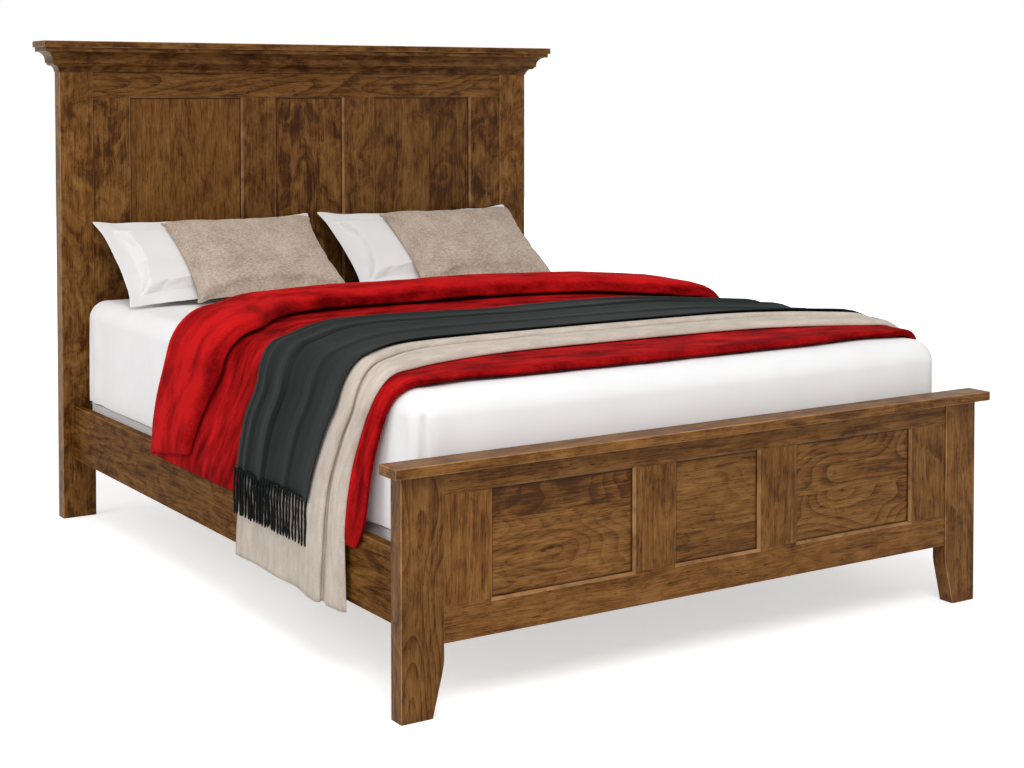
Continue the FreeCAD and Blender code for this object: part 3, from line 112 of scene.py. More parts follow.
def stretched_noise(add, place, scale, detail, roughness=0.5, bend=0.0, location=(0, 0, 0),
                    out="Fac", **settings):
    """Noise with its own scale along each axis, per metre."""
    spot = add("Mapping", {"Vector": place, "Location": location, "Scale": scale})
    return add("TexNoise", {"Vector": spot, "Scale": 1.0, "Detail": detail,
                            "Roughness": roughness, "Distortion": bend}, out, **settings)


def wave_scale(spacing):
    """Scale of a wave texture whose bands repeat every spacing metres."""
    return 2 * math.pi / 20 / spacing


def finish_material(add, colour, bump, values):
    """End a material: relief of (strength, distance, height, normal under it), and one shader
    with its constants on its own sockets."""
    inputs = {"Base Color": colour, **values}
    if bump:
        relief = dict(zip(("Strength", "Distance", "Height", "Normal"), bump))
        inputs["Normal"] = add("Bump", relief)
    add("OutputMaterial", {"Surface": add("BsdfPrincipled", inputs)}, None)


def give_material(node, material):
    """Put a material on a CAD node without touching its mesh."""
    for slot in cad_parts[node].material_slots:
        slot.link = "OBJECT"
        slot.material = material


def corners(node):
    """Lowest and highest corner of a CAD node."""
    return [Vector(corner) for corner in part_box(node)]


def new_piece(name, mesh, material):
    """Smooth object of a finished mesh, at the origin."""
    mesh.name = name
    mesh.materials.clear()
    mesh.materials.append(material)
    for face in mesh.polygons:
        face.use_smooth = True
        face.material_index = 0
    piece = bpy.data.objects.new(name, mesh)
    bpy.context.scene.collection.objects.link(piece)
    return piece


def stand_in(piece, body, node):
    """Let a piece ride on its body and stand for a CAD node, which is hidden."""
    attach(piece, body)
    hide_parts(node)
    return piece


def mesh_of(bm, name):
    """Mesh of a bmesh, which is freed."""
    mesh = bpy.data.meshes.new(name)
    bm.to_mesh(mesh)
    bm.free()
    return mesh


def along(knots, place):
    """Smooth curve through (place, value) knots."""
    if place <= knots[0][0]:
        return knots[0][1]
    if place >= knots[-1][0]:
        return knots[-1][1]
    number = next(n for n in range(1, len(knots)) if place <= knots[n][0])
    (x0, y0), (x1, y1) = knots[number - 1], knots[number]

    def slope(middle):
        (xa, ya), (xb, yb) = knots[max(0, middle - 1)], knots[min(len(knots) - 1, middle + 1)]
        return (yb - ya) / (xb - xa)
    width = x1 - x0
    t = (place - x0) / width
    return (y0 * (1 + 2 * t) * (1 - t) ** 2 + slope(number - 1) * width * t * (1 - t) ** 2
            + y1 * t * t * (3 - 2 * t) - slope(number) * width * t * t * (1 - t))


def blend(low, high, share):
    """Value between two others."""
    return low + (high - low) * share


def eased(value, low, high):
    """0 below low, 1 above high, and a smooth rise between."""
    share = min(1.0, max(0.0, (value - low) / (high - low)))
    return share * share * (3 - 2 * share)


def evenly(low, high, count):
    """Evenly spaced places."""
    return [blend(low, high, number / count) for number in range(count + 1)]


def soft_noise(x, y, z=0.0):
    """Smooth noise from about -1 to 1."""
    return noise.noise(Vector((x, y, z)))


# --------------------------------------------------------------------------------------------
# Settings that a user would change
# --------------------------------------------------------------------------------------------
def colour_setting(name, description, value):
    """Colour property with an sRGB hex default."""
    return bpy.props.FloatVectorProperty(
        name=name, description=description, subtype="COLOR", size=3, min=0, max=1,
        default=linear(value))


def length_setting(name, description, value, low, high):
    """Length property in metres."""
    return bpy.props.FloatProperty(
        name=name, description=description, subtype="DISTANCE", unit="LENGTH",
        default=value, min=low, max=high, precision=4)


class PanelBedWoodSettings(bpy.types.PropertyGroup):
    """Stain and finish of the woodwork."""
    dark_colour: colour_setting("Dark grain", "Stain in the late wood", "#4A2A0D")
    middle_colour: colour_setting("Stain", "Main colour of the stained wood", "#744B20")
    light_colour: colour_setting("Light grain", "Stain in the early wood", "#936938")
    fleck_colour: colour_setting("Flecks", "Short gum flecks and pores", "#2E1606")
    # pale eased edges: painted highlight, and lacquer rubbed thin
    edge_colour: colour_setting("Eased edges", "Where the finish is thin on an edge", "#AD835A")
    plain_colour: colour_setting("Unstained pine", "Slats, cleats and centre legs", "#D2B07C")
    headboard_shade: bpy.props.FloatProperty(
        name="Headboard shade", description="How much darker the headboard's boards are",
        subtype="FACTOR", default=0.80, min=0.3, max=1.5)
    board_width: length_setting(
        "Board width", "Width of the boards a panel is glued from", 0.105, 0.03, 0.4)
    gloss_roughness: bpy.props.FloatProperty(
        name="Finish roughness", description="Roughness of the satin lacquer",
        subtype="FACTOR", default=0.42, min=0.05, max=1)


class PanelBedClothSettings(bpy.types.PropertyGroup):
    """Colours and thicknesses of the bedding."""
    cover_colour: colour_setting("White cotton", "Fitted mattress cover", "#F3F2F2")
    sham_colour: colour_setting("Sham cotton", "Shams", "#E8E7E6")
    velvet_light: colour_setting("Velvet light", "Brushed-up pile of the cushions", "#C9B9A9")
    velvet_dark: colour_setting("Velvet dark", "Pressed-down pile of the cushions", "#9C8A7A")
    plush_light: colour_setting("Plush light", "Brushed-up pile of the blanket", "#C8181A")
    # the dark end of the blanket's ramp, which also carries painted shade in its folds
    plush_dark: colour_setting("Plush dark", "Pressed-down pile of the blanket", "#680204")
    beige_light: colour_setting("Beige light", "Beige throw", "#CFC3B7")
    beige_dark: colour_setting("Beige dark", "Shade of the beige throw", "#BBAEA1")
    charcoal_colour: colour_setting("Charcoal", "Charcoal throw", "#232726")
    yarn_colour: colour_setting("Fringe yarn", "Twisted yarn of the fringe", "#1A1C1C")
    blanket_thickness: length_setting(
        "Blanket thickness", "Plush blanket, one layer", 0.0165, 0.004, 0.019)
    roll_height: length_setting(
        "Roll height", "Folded-back end of the blanket", 0.070, 0.04, 0.09)
    throw_thickness: length_setting(
        "Throw thickness", "Beige throw, one layer", 0.0055, 0.002, 0.01)
    wrap_thickness: length_setting(
        "Wrap thickness", "Charcoal throw, one layer", 0.0035, 0.002, 0.008)
    fold_height: length_setting(
        "Fold height", "Lengthwise folds of the charcoal throw", 0.0145, 0.0, 0.02)
    strand_thickness: length_setting(
        "Strand thickness", "Twisted strand of the fringe", 0.0060, 0.002, 0.01)


class PanelBedStageSettings(bpy.types.PropertyGroup):
    """Floor, light and camera."""
    floor_colour: colour_setting("Floor", "Plain pale floor", "#EDEDED")
    sky_strength: bpy.props.FloatProperty(
        name="Sky strength", description="Even light from all round",
        default=0.56, min=0, max=5)
    key_power: bpy.props.FloatProperty(
        name="Key lamp", description="Power of the large soft lamp", unit="POWER",
        default=220, min=0)
    lens_length: bpy.props.FloatProperty(
        name="Lens", description="Focal length on a 36 mm wide sensor, in millimetres",
        default=62.6215, min=10)


# --------------------------------------------------------------------------------------------
# Materials of the woodwork and hardware
# --------------------------------------------------------------------------------------------
# turns an object's own axes so that grain runs along X, the board's depth is Y, its width Z
GRAIN_TURN = {
    "x": (0.0, 0.0, 0.0),
    "y": (0.0, 0.0, -math.pi / 2),
    "z": (0.0, math.pi / 2, 0.0),
}
FIBRE_WEIGHT = 0.80
TONE_WEIGHT = 0.22
LACQUER_GLEAM = 0.11
# arches a metre of a board's length: in a bold figure, in a plain one, and in a headboard panel
BOLD_ARCHES, PLAIN_ARCHES, PANEL_ARCHES = 2.4, 1.2, 1.3
# how deep a panel's edge lies hidden in its grooves, and where the dark line of gathered stain
# and painted shadow beside them starts and ends
GROOVE_DEPTH, DARK_LINE_START, DARK_LINE_END = 0.009, 0.006, 0.001


def board_axes(add, node, grain):
    """Texture place in a board's own axes, and the object's normals."""
    low, high = corners(node)
    turn = GRAIN_TURN[grain]
    middle = (Matrix.Rotation(turn[2], 3, "Z") @ Matrix.Rotation(turn[1], 3, "Y")
              @ ((low + high) / 2))
    place = add("TexCoord", out=None)
    board = add("Mapping", {"Vector": place["Object"], "Rotation": turn, "Location": -middle})
    return board, place["Normal"]


def mixed(add, share, under, over):
    """One colour laid over another by a share."""
    return add("Mix", {0: share, 6: under, 7: over}, 2, data_type="RGBA")


def stained_cherry(node, grain, shade, seed, figure, flame, mottle, arch, glued=0.0, edge_wear_and_highlight=0.0,
                   framed=False, gleam=LACQUER_GLEAM):
    """Cherry, planed, sanded, stained brown and sprayed with satin lacquer, on a CAD node.

    It shows growth rings that open into long arches, darker flames along the grain, fine
    fibre, short dark gum flecks and cloudy stain, and thin pale lines on eased edges that are
    painted highlight and finish rubbed thin together. figure, flame and mottle are how much each
    pattern counts, arch is how many arches a metre of the board's length has, and gleam is the
    lacquer's specular level. Around a framed panel a dark line beside the grooves is gathered
    stain and painted shadow of the frame.
    """
    wood = bpy.context.scene.panel_bed_wood
    material, add = new_material(f"stained_cherry_{node}")
    plain_board, normal = board_axes(add, node, grain)
    board = plain_board
    if glued:
        # boards side by side, each with its own piece of the pattern and its own tone
        across = add("SeparateXYZ", [plain_board], "Z")
        count = add("Math", (across, 1 / glued, 0.37 + seed), operation="MULTIPLY_ADD")
        number = add("Math", [count], operation="FLOOR")
        drawn = add("TexWhiteNoise", {"W": number}, None, noise_dimensions="1D")
        board = add("VectorMath", (drawn["Color"], (2.0, 0.05, 0.12), plain_board),
                    operation="MULTIPLY_ADD")

    def pattern(start, scale, detail, roughness, bend=0.0, place=None, out="Fac"):
        """Noise whose scales are per metre along the grain, in depth and across."""
        return stretched_noise(add, place or board, scale, detail, roughness, bend,
                               (start, start * 0.7, start * 1.9), out)
    swirl = pattern(seed * 3.1, (1.9, 8.0, 8.0), 2.0, 0.5, out="Color")
    warped = add("VectorMath", (swirl, (0.0, 0.020, 0.034), board), operation="MULTIPLY_ADD")
    # growth rings are the level lines of a slow swell, pale and then darker up to a sharp edge
    swell = pattern(seed * 2.9, (arch, 6.5, 6.5), 1.0, 0.5, place=warped)
    turns = add("Math", (swell, 20.0), operation="MULTIPLY")
    ring = add("Math", (add("Math", [turns], operation="FRACT"), 2.5), operation="POWER")
    ring = add("Math", (0.78, ring), operation="SUBTRACT")
    # fibre 3 mm apart, drawn coarser than the real 0.3 mm so that it shows
    fibre = pattern(seed * 5.7, (12.0, 340.0, 340.0), 4.0, 0.76, place=warped)
    # flames 100 to 200 mm long and 6 to 14 mm wide, where the stain sank deeper
    streak = pattern(seed * 2.3, (6.0, 78.0, 78.0), 5.0, 0.60, 0.3, warped)
    # gum flecks 15 to 35 mm long and 1.5 to 3 mm wide
    fleck = pattern(seed * 1.9, (30.0, 320.0, 320.0), 3.0, 0.6, place=warped)
    # clouds of stain 50 to 100 mm across, with fine curl in them
    cloud = pattern(seed * 4.1, (13.0, 19.0, 19.0), 6.0, 0.66, 0.9)
    # the patterns, each about 0 in its middle, add up to a place on the stain's scale
    flame, mottle = flame * 2.2, mottle * 2.2
    value, offset = -figure / 2, 0.5 - (flame + FIBRE_WEIGHT + mottle) / 2
    weights = [(ring, figure), (streak, flame), (fibre, FIBRE_WEIGHT), (cloud, mottle)]
    if glued:
        weights.append((drawn["Value"], TONE_WEIGHT))
        offset -= TONE_WEIGHT / 2
    for part, weight in weights:
        value = add("Math", (part, weight, value), operation="MULTIPLY_ADD")
    value = add("Math", (value, offset), operation="ADD")
    colour = add("ValToRGB", [value], stops=(
        *shades(wood.dark_colour, (0.10, shade * 0.72), (0.32, shade)),
        (0.52, shaded(wood.middle_colour, shade)), (0.82, shaded(wood.light_colour, shade))))
    fleck_share = add("MapRange", (fleck, 0.58, 0.68, 0.0, 0.85))
    colour = mixed(add, fleck_share, colour, shaded(wood.fleck_colour, shade))
    # a dark line beside the grooves: stain gathered there, and painted shadow of the frame
    if framed:
        low, high = corners(node)
        size = high - low
        flat = add("VectorMath", [plain_board], operation="ABSOLUTE")
        parts = add("SeparateXYZ", [flat], None)
        stain_and_shadow_lines = []
        for axis, reach in zip("XZ", (size.x, size.z) if grain == "x" else (size.z, size.x)):
            seen = reach / 2 - GROOVE_DEPTH
            stain_and_shadow_lines.append(add("MapRange", (
                parts[axis], seen - DARK_LINE_START, seen - DARK_LINE_END, 0.0, 0.75)))
        stain_and_shadow_line = add("Math", stain_and_shadow_lines, operation="MAXIMUM")
        colour = mixed(add, stain_and_shadow_line, colour, shaded(wood.fleck_colour, shade * 0.8))
    if edge_wear_and_highlight:
        # pale eased edges (painted highlight, rubbed finish), found by how far a face turns off
        # the axes
        straight = add("VectorMath", [normal], operation="ABSOLUTE")
        parts = add("SeparateXYZ", [straight], None)
        largest = add("Math", (parts["X"], parts["Y"]), operation="MAXIMUM")
        largest = add("Math", (largest, parts["Z"]), operation="MAXIMUM")
        edge = add("MapRange", (largest, 0.90, 0.76, 0.0, edge_wear_and_highlight))
        edge_patches = add("MapRange", (cloud, 0.35, 0.6, 0.35, 1.0))
        edge = add("Math", (edge, edge_patches), operation="MULTIPLY")
        colour = mixed(add, edge, colour, shaded(wood.edge_colour))
    satin = wood.gloss_roughness
    roughness = add("MapRange", (fibre, 0.3, 0.7, satin - 0.05, satin + 0.07))
    finish_material(add, colour, (0.12, 0.0006, fibre), {
        "Roughness": roughness, "IOR": 1.5, "Specular IOR Level": gleam})
    give_material(node, material)


def planed_pine(node, grain, seed):
    """Pine, sawn, planed and left bare, on a CAD node: pale, with straight resin lines, matt."""
    material, add = new_material(f"planed_pine_{node}")
    board, _ = board_axes(add, node, grain)
    place = add("Mapping", {"Vector": board, "Location": (seed, 0.045, 0.01 + seed * 0.004),
                            "Rotation": (0, 0.004, 0.02)})
    # growth rings 6 mm apart
    ring = add("TexWave", {
        "Vector": place, "Scale": wave_scale(0.006), "Distortion": 1.2, "Detail": 2.0,
        "Detail Scale": 0.3}, "Fac", wave_type="RINGS", rings_direction="X", wave_profile="SAW")
    fibre = stretched_noise(add, board, (8.0, 240.0, 240.0), 3.0, location=(seed * 3, 0, 0))
    value = add("Math", (ring, 0.45, fibre), operation="MULTIPLY_ADD")
    colour = add("ValToRGB", [value], stops=shades(
        bpy.context.scene.panel_bed_wood.plain_colour, (0.35, 1.08), (0.7, 0.95), (1.0, 0.72)))
    finish_material(add, colour, (0.25, 0.0008, fibre), {"Roughness": 0.72, "IOR": 1.5})
    give_material(node, material)


def plated_steel(name, tint, roughness, spangle):
    """Steel or brass, stamped, rolled or turned: grey or yellow metal with faint cloudy
    patches, spangle metres across."""
    material, add = new_material(name)
    cloud = add("TexNoise", {"Vector": add("TexCoord", out="Object"), "Scale": 1 / spangle,
                             "Detail": 3.0, "Roughness": 0.6})
    colour = add("ValToRGB", [cloud], stops=shades(linear(tint), (0.35, 0.78), (0.65, 1.1)))
    finish = add("MapRange", (cloud, 0.3, 0.7, roughness - 0.07, roughness + 0.1))
    finish_material(add, colour, (0.1, 0.0003, cloud), {"Roughness": finish, "Metallic": 1.0})
    return material


def moulded_plastic():
    """Black polyamide, injection moulded with a fine spark texture: matt and even."""
    material, add = new_material("moulded_black_polyamide")
    # spark texture 0.8 mm across, drawn coarser than the real 0.2 mm
    grit = add("TexNoise", {
        "Vector": add("TexCoord", out="Object"), "Scale": 1250.0, "Detail": 2.0})
    colour = add("ValToRGB", [grit], stops=(
        (0.3, shaded(linear("#141414"))), (0.7, shaded(linear("#242424")))))
    finish_material(add, colour, (0.3, 0.0002, grit), {"Roughness": 0.55, "IOR": 1.53})
    return material


# --------------------------------------------------------------------------------------------
# Materials of the bedding
# --------------------------------------------------------------------------------------------
def cotton_or_wool(roughness, specular, sheen, sheen_roughness, tint=None):
    """Shader values of a cloth: rough, with weak highlights and a little sheen."""
    values = {"Roughness": roughness, "IOR": 1.45, "Specular IOR Level": specular,
              "Sheen Weight": sheen, "Sheen Roughness": sheen_roughness}
    if tint:
        values["Sheen Tint"] = shaded(linear(tint))
    return values


def white_percale(name, colour, crease):
    """Cotton percale, woven and bleached: white, matt, with a fine weave and faint creases."""
    material, add = new_material(name)
    place = add("TexCoord", out="Object")
    cloud = add("TexNoise", {"Vector": place, "Scale": 7.0, "Detail": 3.0, "Roughness": 0.5,
                             "Distortion": 0.5})
    colour = add("ValToRGB", [cloud], stops=shades(colour, (0.3, 0.965), (0.7, 1.01)))
    # threads 1.6 mm apart, drawn coarser than the real 0.3 mm so that the weave shows close to
    threads = [add("TexWave", {
        "Vector": place, "Scale": wave_scale(0.0016), "Distortion": 0.6, "Detail": 1.0}, "Fac",
        wave_type="BANDS", bands_direction=axis, wave_profile="SIN") for axis in "XY"]
    weave = add("Bump", {"Strength": 0.10, "Distance": 0.0004, "Height": add(
        "Math", threads, operation="MULTIPLY")})
    finish_material(add, colour, (crease, 0.006, cloud, weave),
                    cotton_or_wool(0.85, 0.25, 0.05, 0.5))
    return material


def woven_ticking():
    """Cotton ticking of the foundation: off-white twill, tight over its edges."""
    material, add = new_material("woven_cotton_ticking")
    place = add("TexCoord", out="Object")
    shade = add("TexNoise", {"Vector": place, "Scale": 14.0, "Detail": 3.0})
    colour = add("ValToRGB", [shade], stops=(
        (0.3, shaded(linear("#E6E4E1"))), (0.7, shaded(linear("#F0EEEC")))))
    # twill ribs 2 mm apart, drawn coarser than the real 0.6 mm
    ribs = add("TexWave", {"Vector": place, "Scale": wave_scale(0.002), "Distortion": 0.4},
               "Fac", wave_type="BANDS", bands_direction="DIAGONAL", wave_profile="SIN")
    finish_material(add, colour, (0.2, 0.0005, ribs), {"Roughness": 0.88, "IOR": 1.45})
    return material


def brushed_velvet(name, seed):
    """Polyester velvet, cut and brushed: pale and dark flecks where the pile lies either way."""
    cloth = bpy.context.scene.panel_bed_cloth
    material, add = new_material(name)
    place = add("Mapping", {"Vector": add("TexCoord", out="Object"),
                            "Location": (seed, seed * 0.7, 0)})
    patch = add("TexNoise", {"Vector": place, "Scale": 14.0, "Detail": 5.0, "Roughness": 0.66})
    # tufts about 5 mm across, stretched one way as a hand brushes them
    tuft = stretched_noise(add, place, (120.0, 210.0, 210.0), 3.0, 0.6)
    value = add("Math", (tuft, 0.75, add("Math", (patch, 0.5), operation="MULTIPLY")),
                operation="MULTIPLY_ADD")
    colour = add("ValToRGB", [value], stops=dark_to_light(
        cloth.velvet_dark, cloth.velvet_light, (0.46, 0.62, 0.78)))
    finish_material(add, colour, (0.35, 0.0016, value), cotton_or_wool(0.82, 0.2, 0.08, 0.4))
    return material


def red_plush():
    """Polyester plush, knitted and brushed: deep red, with dark strokes, and painted shade in its
    folds.
    """
    cloth = bpy.context.scene.panel_bed_cloth
    material, add = new_material("brushed_red_plush")
    place = add("UVMap", uv_map="cloth")
    # strokes 40 to 90 mm long that lie along the blanket's fall
    stroke = stretched_noise(add, place, (18.0, 7.0, 1.0), 5.0, 0.60, noise_dimensions="2D")
    tuft = add("TexNoise", {"Vector": place, "Scale": 170.0, "Detail": 2.0, "Roughness": 0.6},
               noise_dimensions="2D")
    value = add("Math", (tuft, 0.22, stroke), operation="MULTIPLY_ADD")
    # painted shade: darker on the fold's front wall and along the foot edge; a darker tone over
    # the flat layer
    shade_and_tone = add("Attribute", out="Fac", attribute_name="shade_and_tone")
    value = add("Math", (shade_and_tone, -0.20, value), operation="MULTIPLY_ADD")
    colour = add("ValToRGB", [value], stops=dark_to_light(
        cloth.plush_dark, cloth.plush_light, (0.28, 0.50, 0.70)))
    finish_material(add, colour, (0.5, 0.0025, value),
                    cotton_or_wool(0.85, 0.04, 0.04, 0.35, "#E02A2A"))
    return material


def beige_suede():
    """Beige microfibre, knitted and sanded: short nap with faint upright streaks."""
    cloth = bpy.context.scene.panel_bed_cloth
    material, add = new_material("sanded_beige_microfibre")
    place = add("UVMap", uv_map="cloth")
    streak = stretched_noise(add, place, (38.0, 14.0, 1.0), 5.0, 0.65, 0.3,
                             noise_dimensions="2D")
    nap = add("TexNoise", {"Vector": place, "Scale": 240.0, "Detail": 2.0},
              noise_dimensions="2D")
    value = add("Math", (nap, 0.3, streak), operation="MULTIPLY_ADD")
    colour = add("ValToRGB", [value], stops=(
        (0.48, shaded(cloth.beige_dark)), (0.82, shaded(cloth.beige_light))))
    finish_material(add, colour, (0.25, 0.001, value), cotton_or_wool(0.85, 0.2, 0.06, 0.45))
    return material


def charcoal_twill():
    """Charcoal wool blend, woven in a fine twill and milled: smooth and nearly even."""
    material, add = new_material("milled_charcoal_twill")
    place = add("UVMap", uv_map="cloth")
    haze = stretched_noise(add, place, (60.0, 8.0, 1.0), 4.0, noise_dimensions="2D")
    colour = add("ValToRGB", [haze], stops=shades(
        bpy.context.scene.panel_bed_cloth.charcoal_colour, (0.3, 0.86), (0.7, 1.12)))
    # twill ribs 2.4 mm apart, drawn coarser than the real 0.8 mm
    ribs = add("TexWave", {
        "Vector": place, "Scale": wave_scale(0.0024), "Distortion": 0.8, "Detail": 1.0}, "Fac",
        wave_type="BANDS", bands_direction="DIAGONAL", wave_profile="SIN")
    finish_material(add, colour, (0.12, 0.0005, ribs),
                    cotton_or_wool(0.78, 0.12, 0.05, 0.4, "#8A9292"))
    return material


def twisted_yarn():
    """Wool yarn, two plies twisted: near black, with fine hairs that catch a little light."""
    material, add = new_material("twisted_charcoal_yarn")
    hair = stretched_noise(add, add("TexCoord", out="Object"), (500.0, 500.0, 160.0), 3.0)
    colour = add("ValToRGB", [hair], stops=shades(
        bpy.context.scene.panel_bed_cloth.yarn_colour, (0.3, 0.7), (0.7, 1.3)))
    finish_material(add, colour, (0.4, 0.0006, hair), cotton_or_wool(0.85, 0.1, 0.02, 0.5))
    return material


# --------------------------------------------------------------------------------------------
# The way that a cloth takes over the mattress, and its edges
# --------------------------------------------------------------------------------------------
MATTRESS_LOW, MATTRESS_HIGH = corners("mattress")
RAIL_LOW, RAIL_HIGH = corners("side_rail_left")
TOP_ROUND = 0.058
SOFT_GAP = 0.0003
# share of its thickness that a cloth has where it hangs at the rail, on its side edges and
# beside them, and on its hems
HEM_SHARE = 0.45
EDGE_SHARES = (0.45, 0.88)
HEM_EDGE_SHARE = 0.6


class Drape:
    """Way over the bed: flat over the mattress, round its edge, and down past the side rail."""

    def __init__(self):
        self.centre = (MATTRESS_HIGH.x - TOP_ROUND, MATTRESS_HIGH.z - TOP_ROUND)
        self.radius = TOP_ROUND + SOFT_GAP
        self.rail = (-RAIL_LOW.x + SOFT_GAP, RAIL_HIGH.z + SOFT_GAP)
        away = (self.rail[0] - self.centre[0], self.rail[1] - self.centre[1])
        reach = math.hypot(*away)
        self.slant = math.atan2(away[1], away[0]) + math.acos(self.radius / reach)
        self.flat = self.centre[0]
        self.bend = self.radius * (math.pi / 2 - self.slant)
        self.leave = self.on_edge(self.slant)
        self.side = math.hypot(self.rail[0] - self.leave[0], self.rail[1] - self.leave[1])

    def on_edge(self, angle):
        """X and Z on the mattress's rounded edge."""
        return (self.centre[0] + self.radius * math.cos(angle),
                self.centre[1] + self.radius * math.sin(angle))

    def to_height(self, z):
        """Length of the way from the bed's middle to a height on its side."""
        if z < self.rail[1]:
            return self.flat + self.bend + self.side + self.rail[1] - z
        share = (self.leave[1] - z) / (self.leave[1] - self.rail[1])
        return self.flat + self.bend + self.side * share

    def base(self, way):
        """X, Z and outward angle of the way at a length from the bed's middle."""
        if way < self.flat:
            return way, MATTRESS_HIGH.z + SOFT_GAP, math.pi / 2
        way -= self.flat
        if way < self.bend:
            angle = math.pi / 2 - way / self.radius
            return (*self.on_edge(angle), angle)
        way -= self.bend
        turn = self.slant * (1 - eased(way, self.side - 0.03, self.side + 0.03))
        if way < self.side:
            share = way / self.side
            return (blend(self.leave[0], self.rail[0], share),
                    blend(self.leave[1], self.rail[1], share), turn)
        return self.rail[0], self.rail[1] - (way - self.side), turn

    def thinned(self, way):
        """Share of a cloth's fullness: whole over the bed, less where it is pulled flat."""
        z = self.base(abs(way))[1]
        rise = min(1, max(0, (z - RAIL_HIGH.z) / (self.centre[1] - RAIL_HIGH.z)))
        return HEM_SHARE + (1 - HEM_SHARE) * rise

    def spot(self, way, y, lift):
        """Point at a length from the middle, negative to the left, lifted off the way."""
        x, z, angle = self.base(abs(way))
        x, z = x + lift * math.cos(angle), z + lift * math.sin(angle)
        return Vector((math.copysign(x, way), y, z))


DRAPE = Drape()

# y of each cloth's edges and creases, in metres, at lengths of the way from the bed's middle
BLANKET_FOOT = (
    (0, -0.914), (0.40, -0.913), (0.58, -0.906), (0.70, -0.930), (0.77, -0.908),
    (0.826, -0.883), (0.914, -0.858), (1.04, -0.842), (1.10, -0.812))
BLANKET_CREASE = (
    (0, 0.235), (0.33, 0.230), (0.50, 0.175), (0.612, 0.075), (0.70, -0.045), (0.76, -0.095),
    (0.843, -0.070), (0.943, 0.010), (1.05, 0.085), (1.10, 0.105))
BLANKET_HEAD = (
    (0, 0.458), (0.30, 0.452), (0.50, 0.400), (0.60, 0.330), (0.68, 0.255), (0.75, 0.215),
    (0.80, 0.225), (0.94, 0.310), (1.10, 0.370))
THROW_FOOT = (
    (0, -0.712), (0.30, -0.715), (0.45, -0.738), (0.60, -0.790), (0.68, -0.832),
    (0.76, -0.862), (0.822, -0.830), (0.927, -0.786), (1.037, -0.768), (1.25, -0.776))
THROW_PLEAT = (
    (0, -0.595), (0.30, -0.600), (0.50, -0.618), (0.60, -0.660), (0.68, -0.722),
    (0.77, -0.793), (0.87, -0.745), (0.97, -0.702), (1.06, -0.688), (1.25, -0.672))
THROW_HEAD = (
    (0, -0.090), (0.42, -0.060), (0.55, -0.140), (0.70, -0.280), (0.79, -0.335),
    (0.905, -0.270), (1.03, -0.235), (1.12, -0.205), (1.25, -0.190))
WRAP_FOOT = (
    (0, -0.498), (0.22, -0.498), (0.40, -0.520), (0.542, -0.560), (0.664, -0.655),
    (0.765, -0.747), (0.865, -0.690), (0.941, -0.650), (1.05, -0.606))
WRAP_HEAD = (
    (0, 0.010), (0.22, 0.035), (0.42, 0.035), (0.55, -0.055), (0.70, -0.215),
    (0.79, -0.280), (0.905, -0.215), (1.05, -0.183))


def spline_point(points, place):
    """Point on a smooth curve through a list of (y, lift) points; place counts along the list."""
    number = min(len(points) - 2, int(place))
    t = place - number
    a, b = points[max(0, number - 1)], points[number]
    c, d = points[number + 1], points[min(len(points) - 1, number + 2)]
    return tuple(
        0.5 * (2 * b[i] + (c[i] - a[i]) * t + (2 * a[i] - 5 * b[i] + 4 * c[i] - d[i]) * t * t
               + (3 * b[i] - a[i] - 3 * c[i] + d[i]) * t ** 3) for i in (0, 1))


def hem_length(way, y, hem, share, pitch, side, start, seed):
    """Length of the way with the small waves of a hem."""
    wave = soft_noise(y * pitch, math.copysign(side, way), seed)
    return way * (1 + share * wave * eased(abs(way), start, hem))


def cloth_sheet(name, places, hem, step, spot, thickness, material, shade_and_tone=None):
    """Sheet of cloth: a grid put in place by spot(place across it, length along the way).

    places are the grid's places across the cloth, and its lengths along the way run from hem
    to hem in steps. Each point carries a share of the thickness, which a Solidify modifier
    gives to both sides and which falls off towards the cloth's edges, and how much darker it
    is drawn: painted shade in folds, and a darker tone.
    """
    ways = evenly(-hem, hem, 2 * round(hem / step))
    columns, rows = len(places) - 1, len(ways) - 1
    bm = bmesh.new()
    plan = bm.loops.layers.uv.new("cloth")
    bmesh.ops.create_grid(bm, x_segments=columns, y_segments=rows, size=0.5)
    weights = bm.verts.layers.deform.verify()
    # this layer holds how much darker a point is drawn: painted shade in folds, and darker tone
    pile = bm.verts.layers.float.new("shade_and_tone")
    flat = {}
    for vert in bm.verts:
        column = round((vert.co.x + 0.5) * columns)
        row = round((vert.co.y + 0.5) * rows)
        place, way = flat[vert] = places[column], ways[row]
        beside = min(column, columns - column)
        share = EDGE_SHARES[beside] if beside < len(EDGE_SHARES) else 1.0
        if row in (0, rows):
            share = min(share, HEM_EDGE_SHARE)
        vert[weights][0] = DRAPE.thinned(way) * share
        vert[pile] = shade_and_tone(place, way) if shade_and_tone else 0.0
        vert.co = spot(place, way)
    # the pattern's place: real lengths across and along the cloth
    across = [0.0]
    middle = [spot(place, ways[len(ways) // 2]) for place in places]
    for one, other in zip(middle, middle[1:]):
        across.append(across[-1] + (other - one).length)
    length_at = dict(zip(places, across))
    for face in bm.faces:
        for loop in face.loops:
            place, way = flat[loop.vert]
            loop[plan].uv = (length_at[place], way)
    bmesh.ops.recalc_face_normals(bm, faces=bm.faces)
    top = max(bm.faces, key=lambda face: face.calc_center_median().z)
    if top.normal.z < 0:
        bmesh.ops.reverse_faces(bm, faces=bm.faces)
    piece = new_piece(name, mesh_of(bm, name), material)
    piece.vertex_groups.new(name="fullness")
    solid = piece.modifiers.new("cloth thickness", "SOLIDIFY")
    solid.thickness, solid.offset, solid.use_rim = thickness, 0.0, True
    solid.vertex_group, solid.thickness_vertex_group = "fullness", 0.0
    return piece


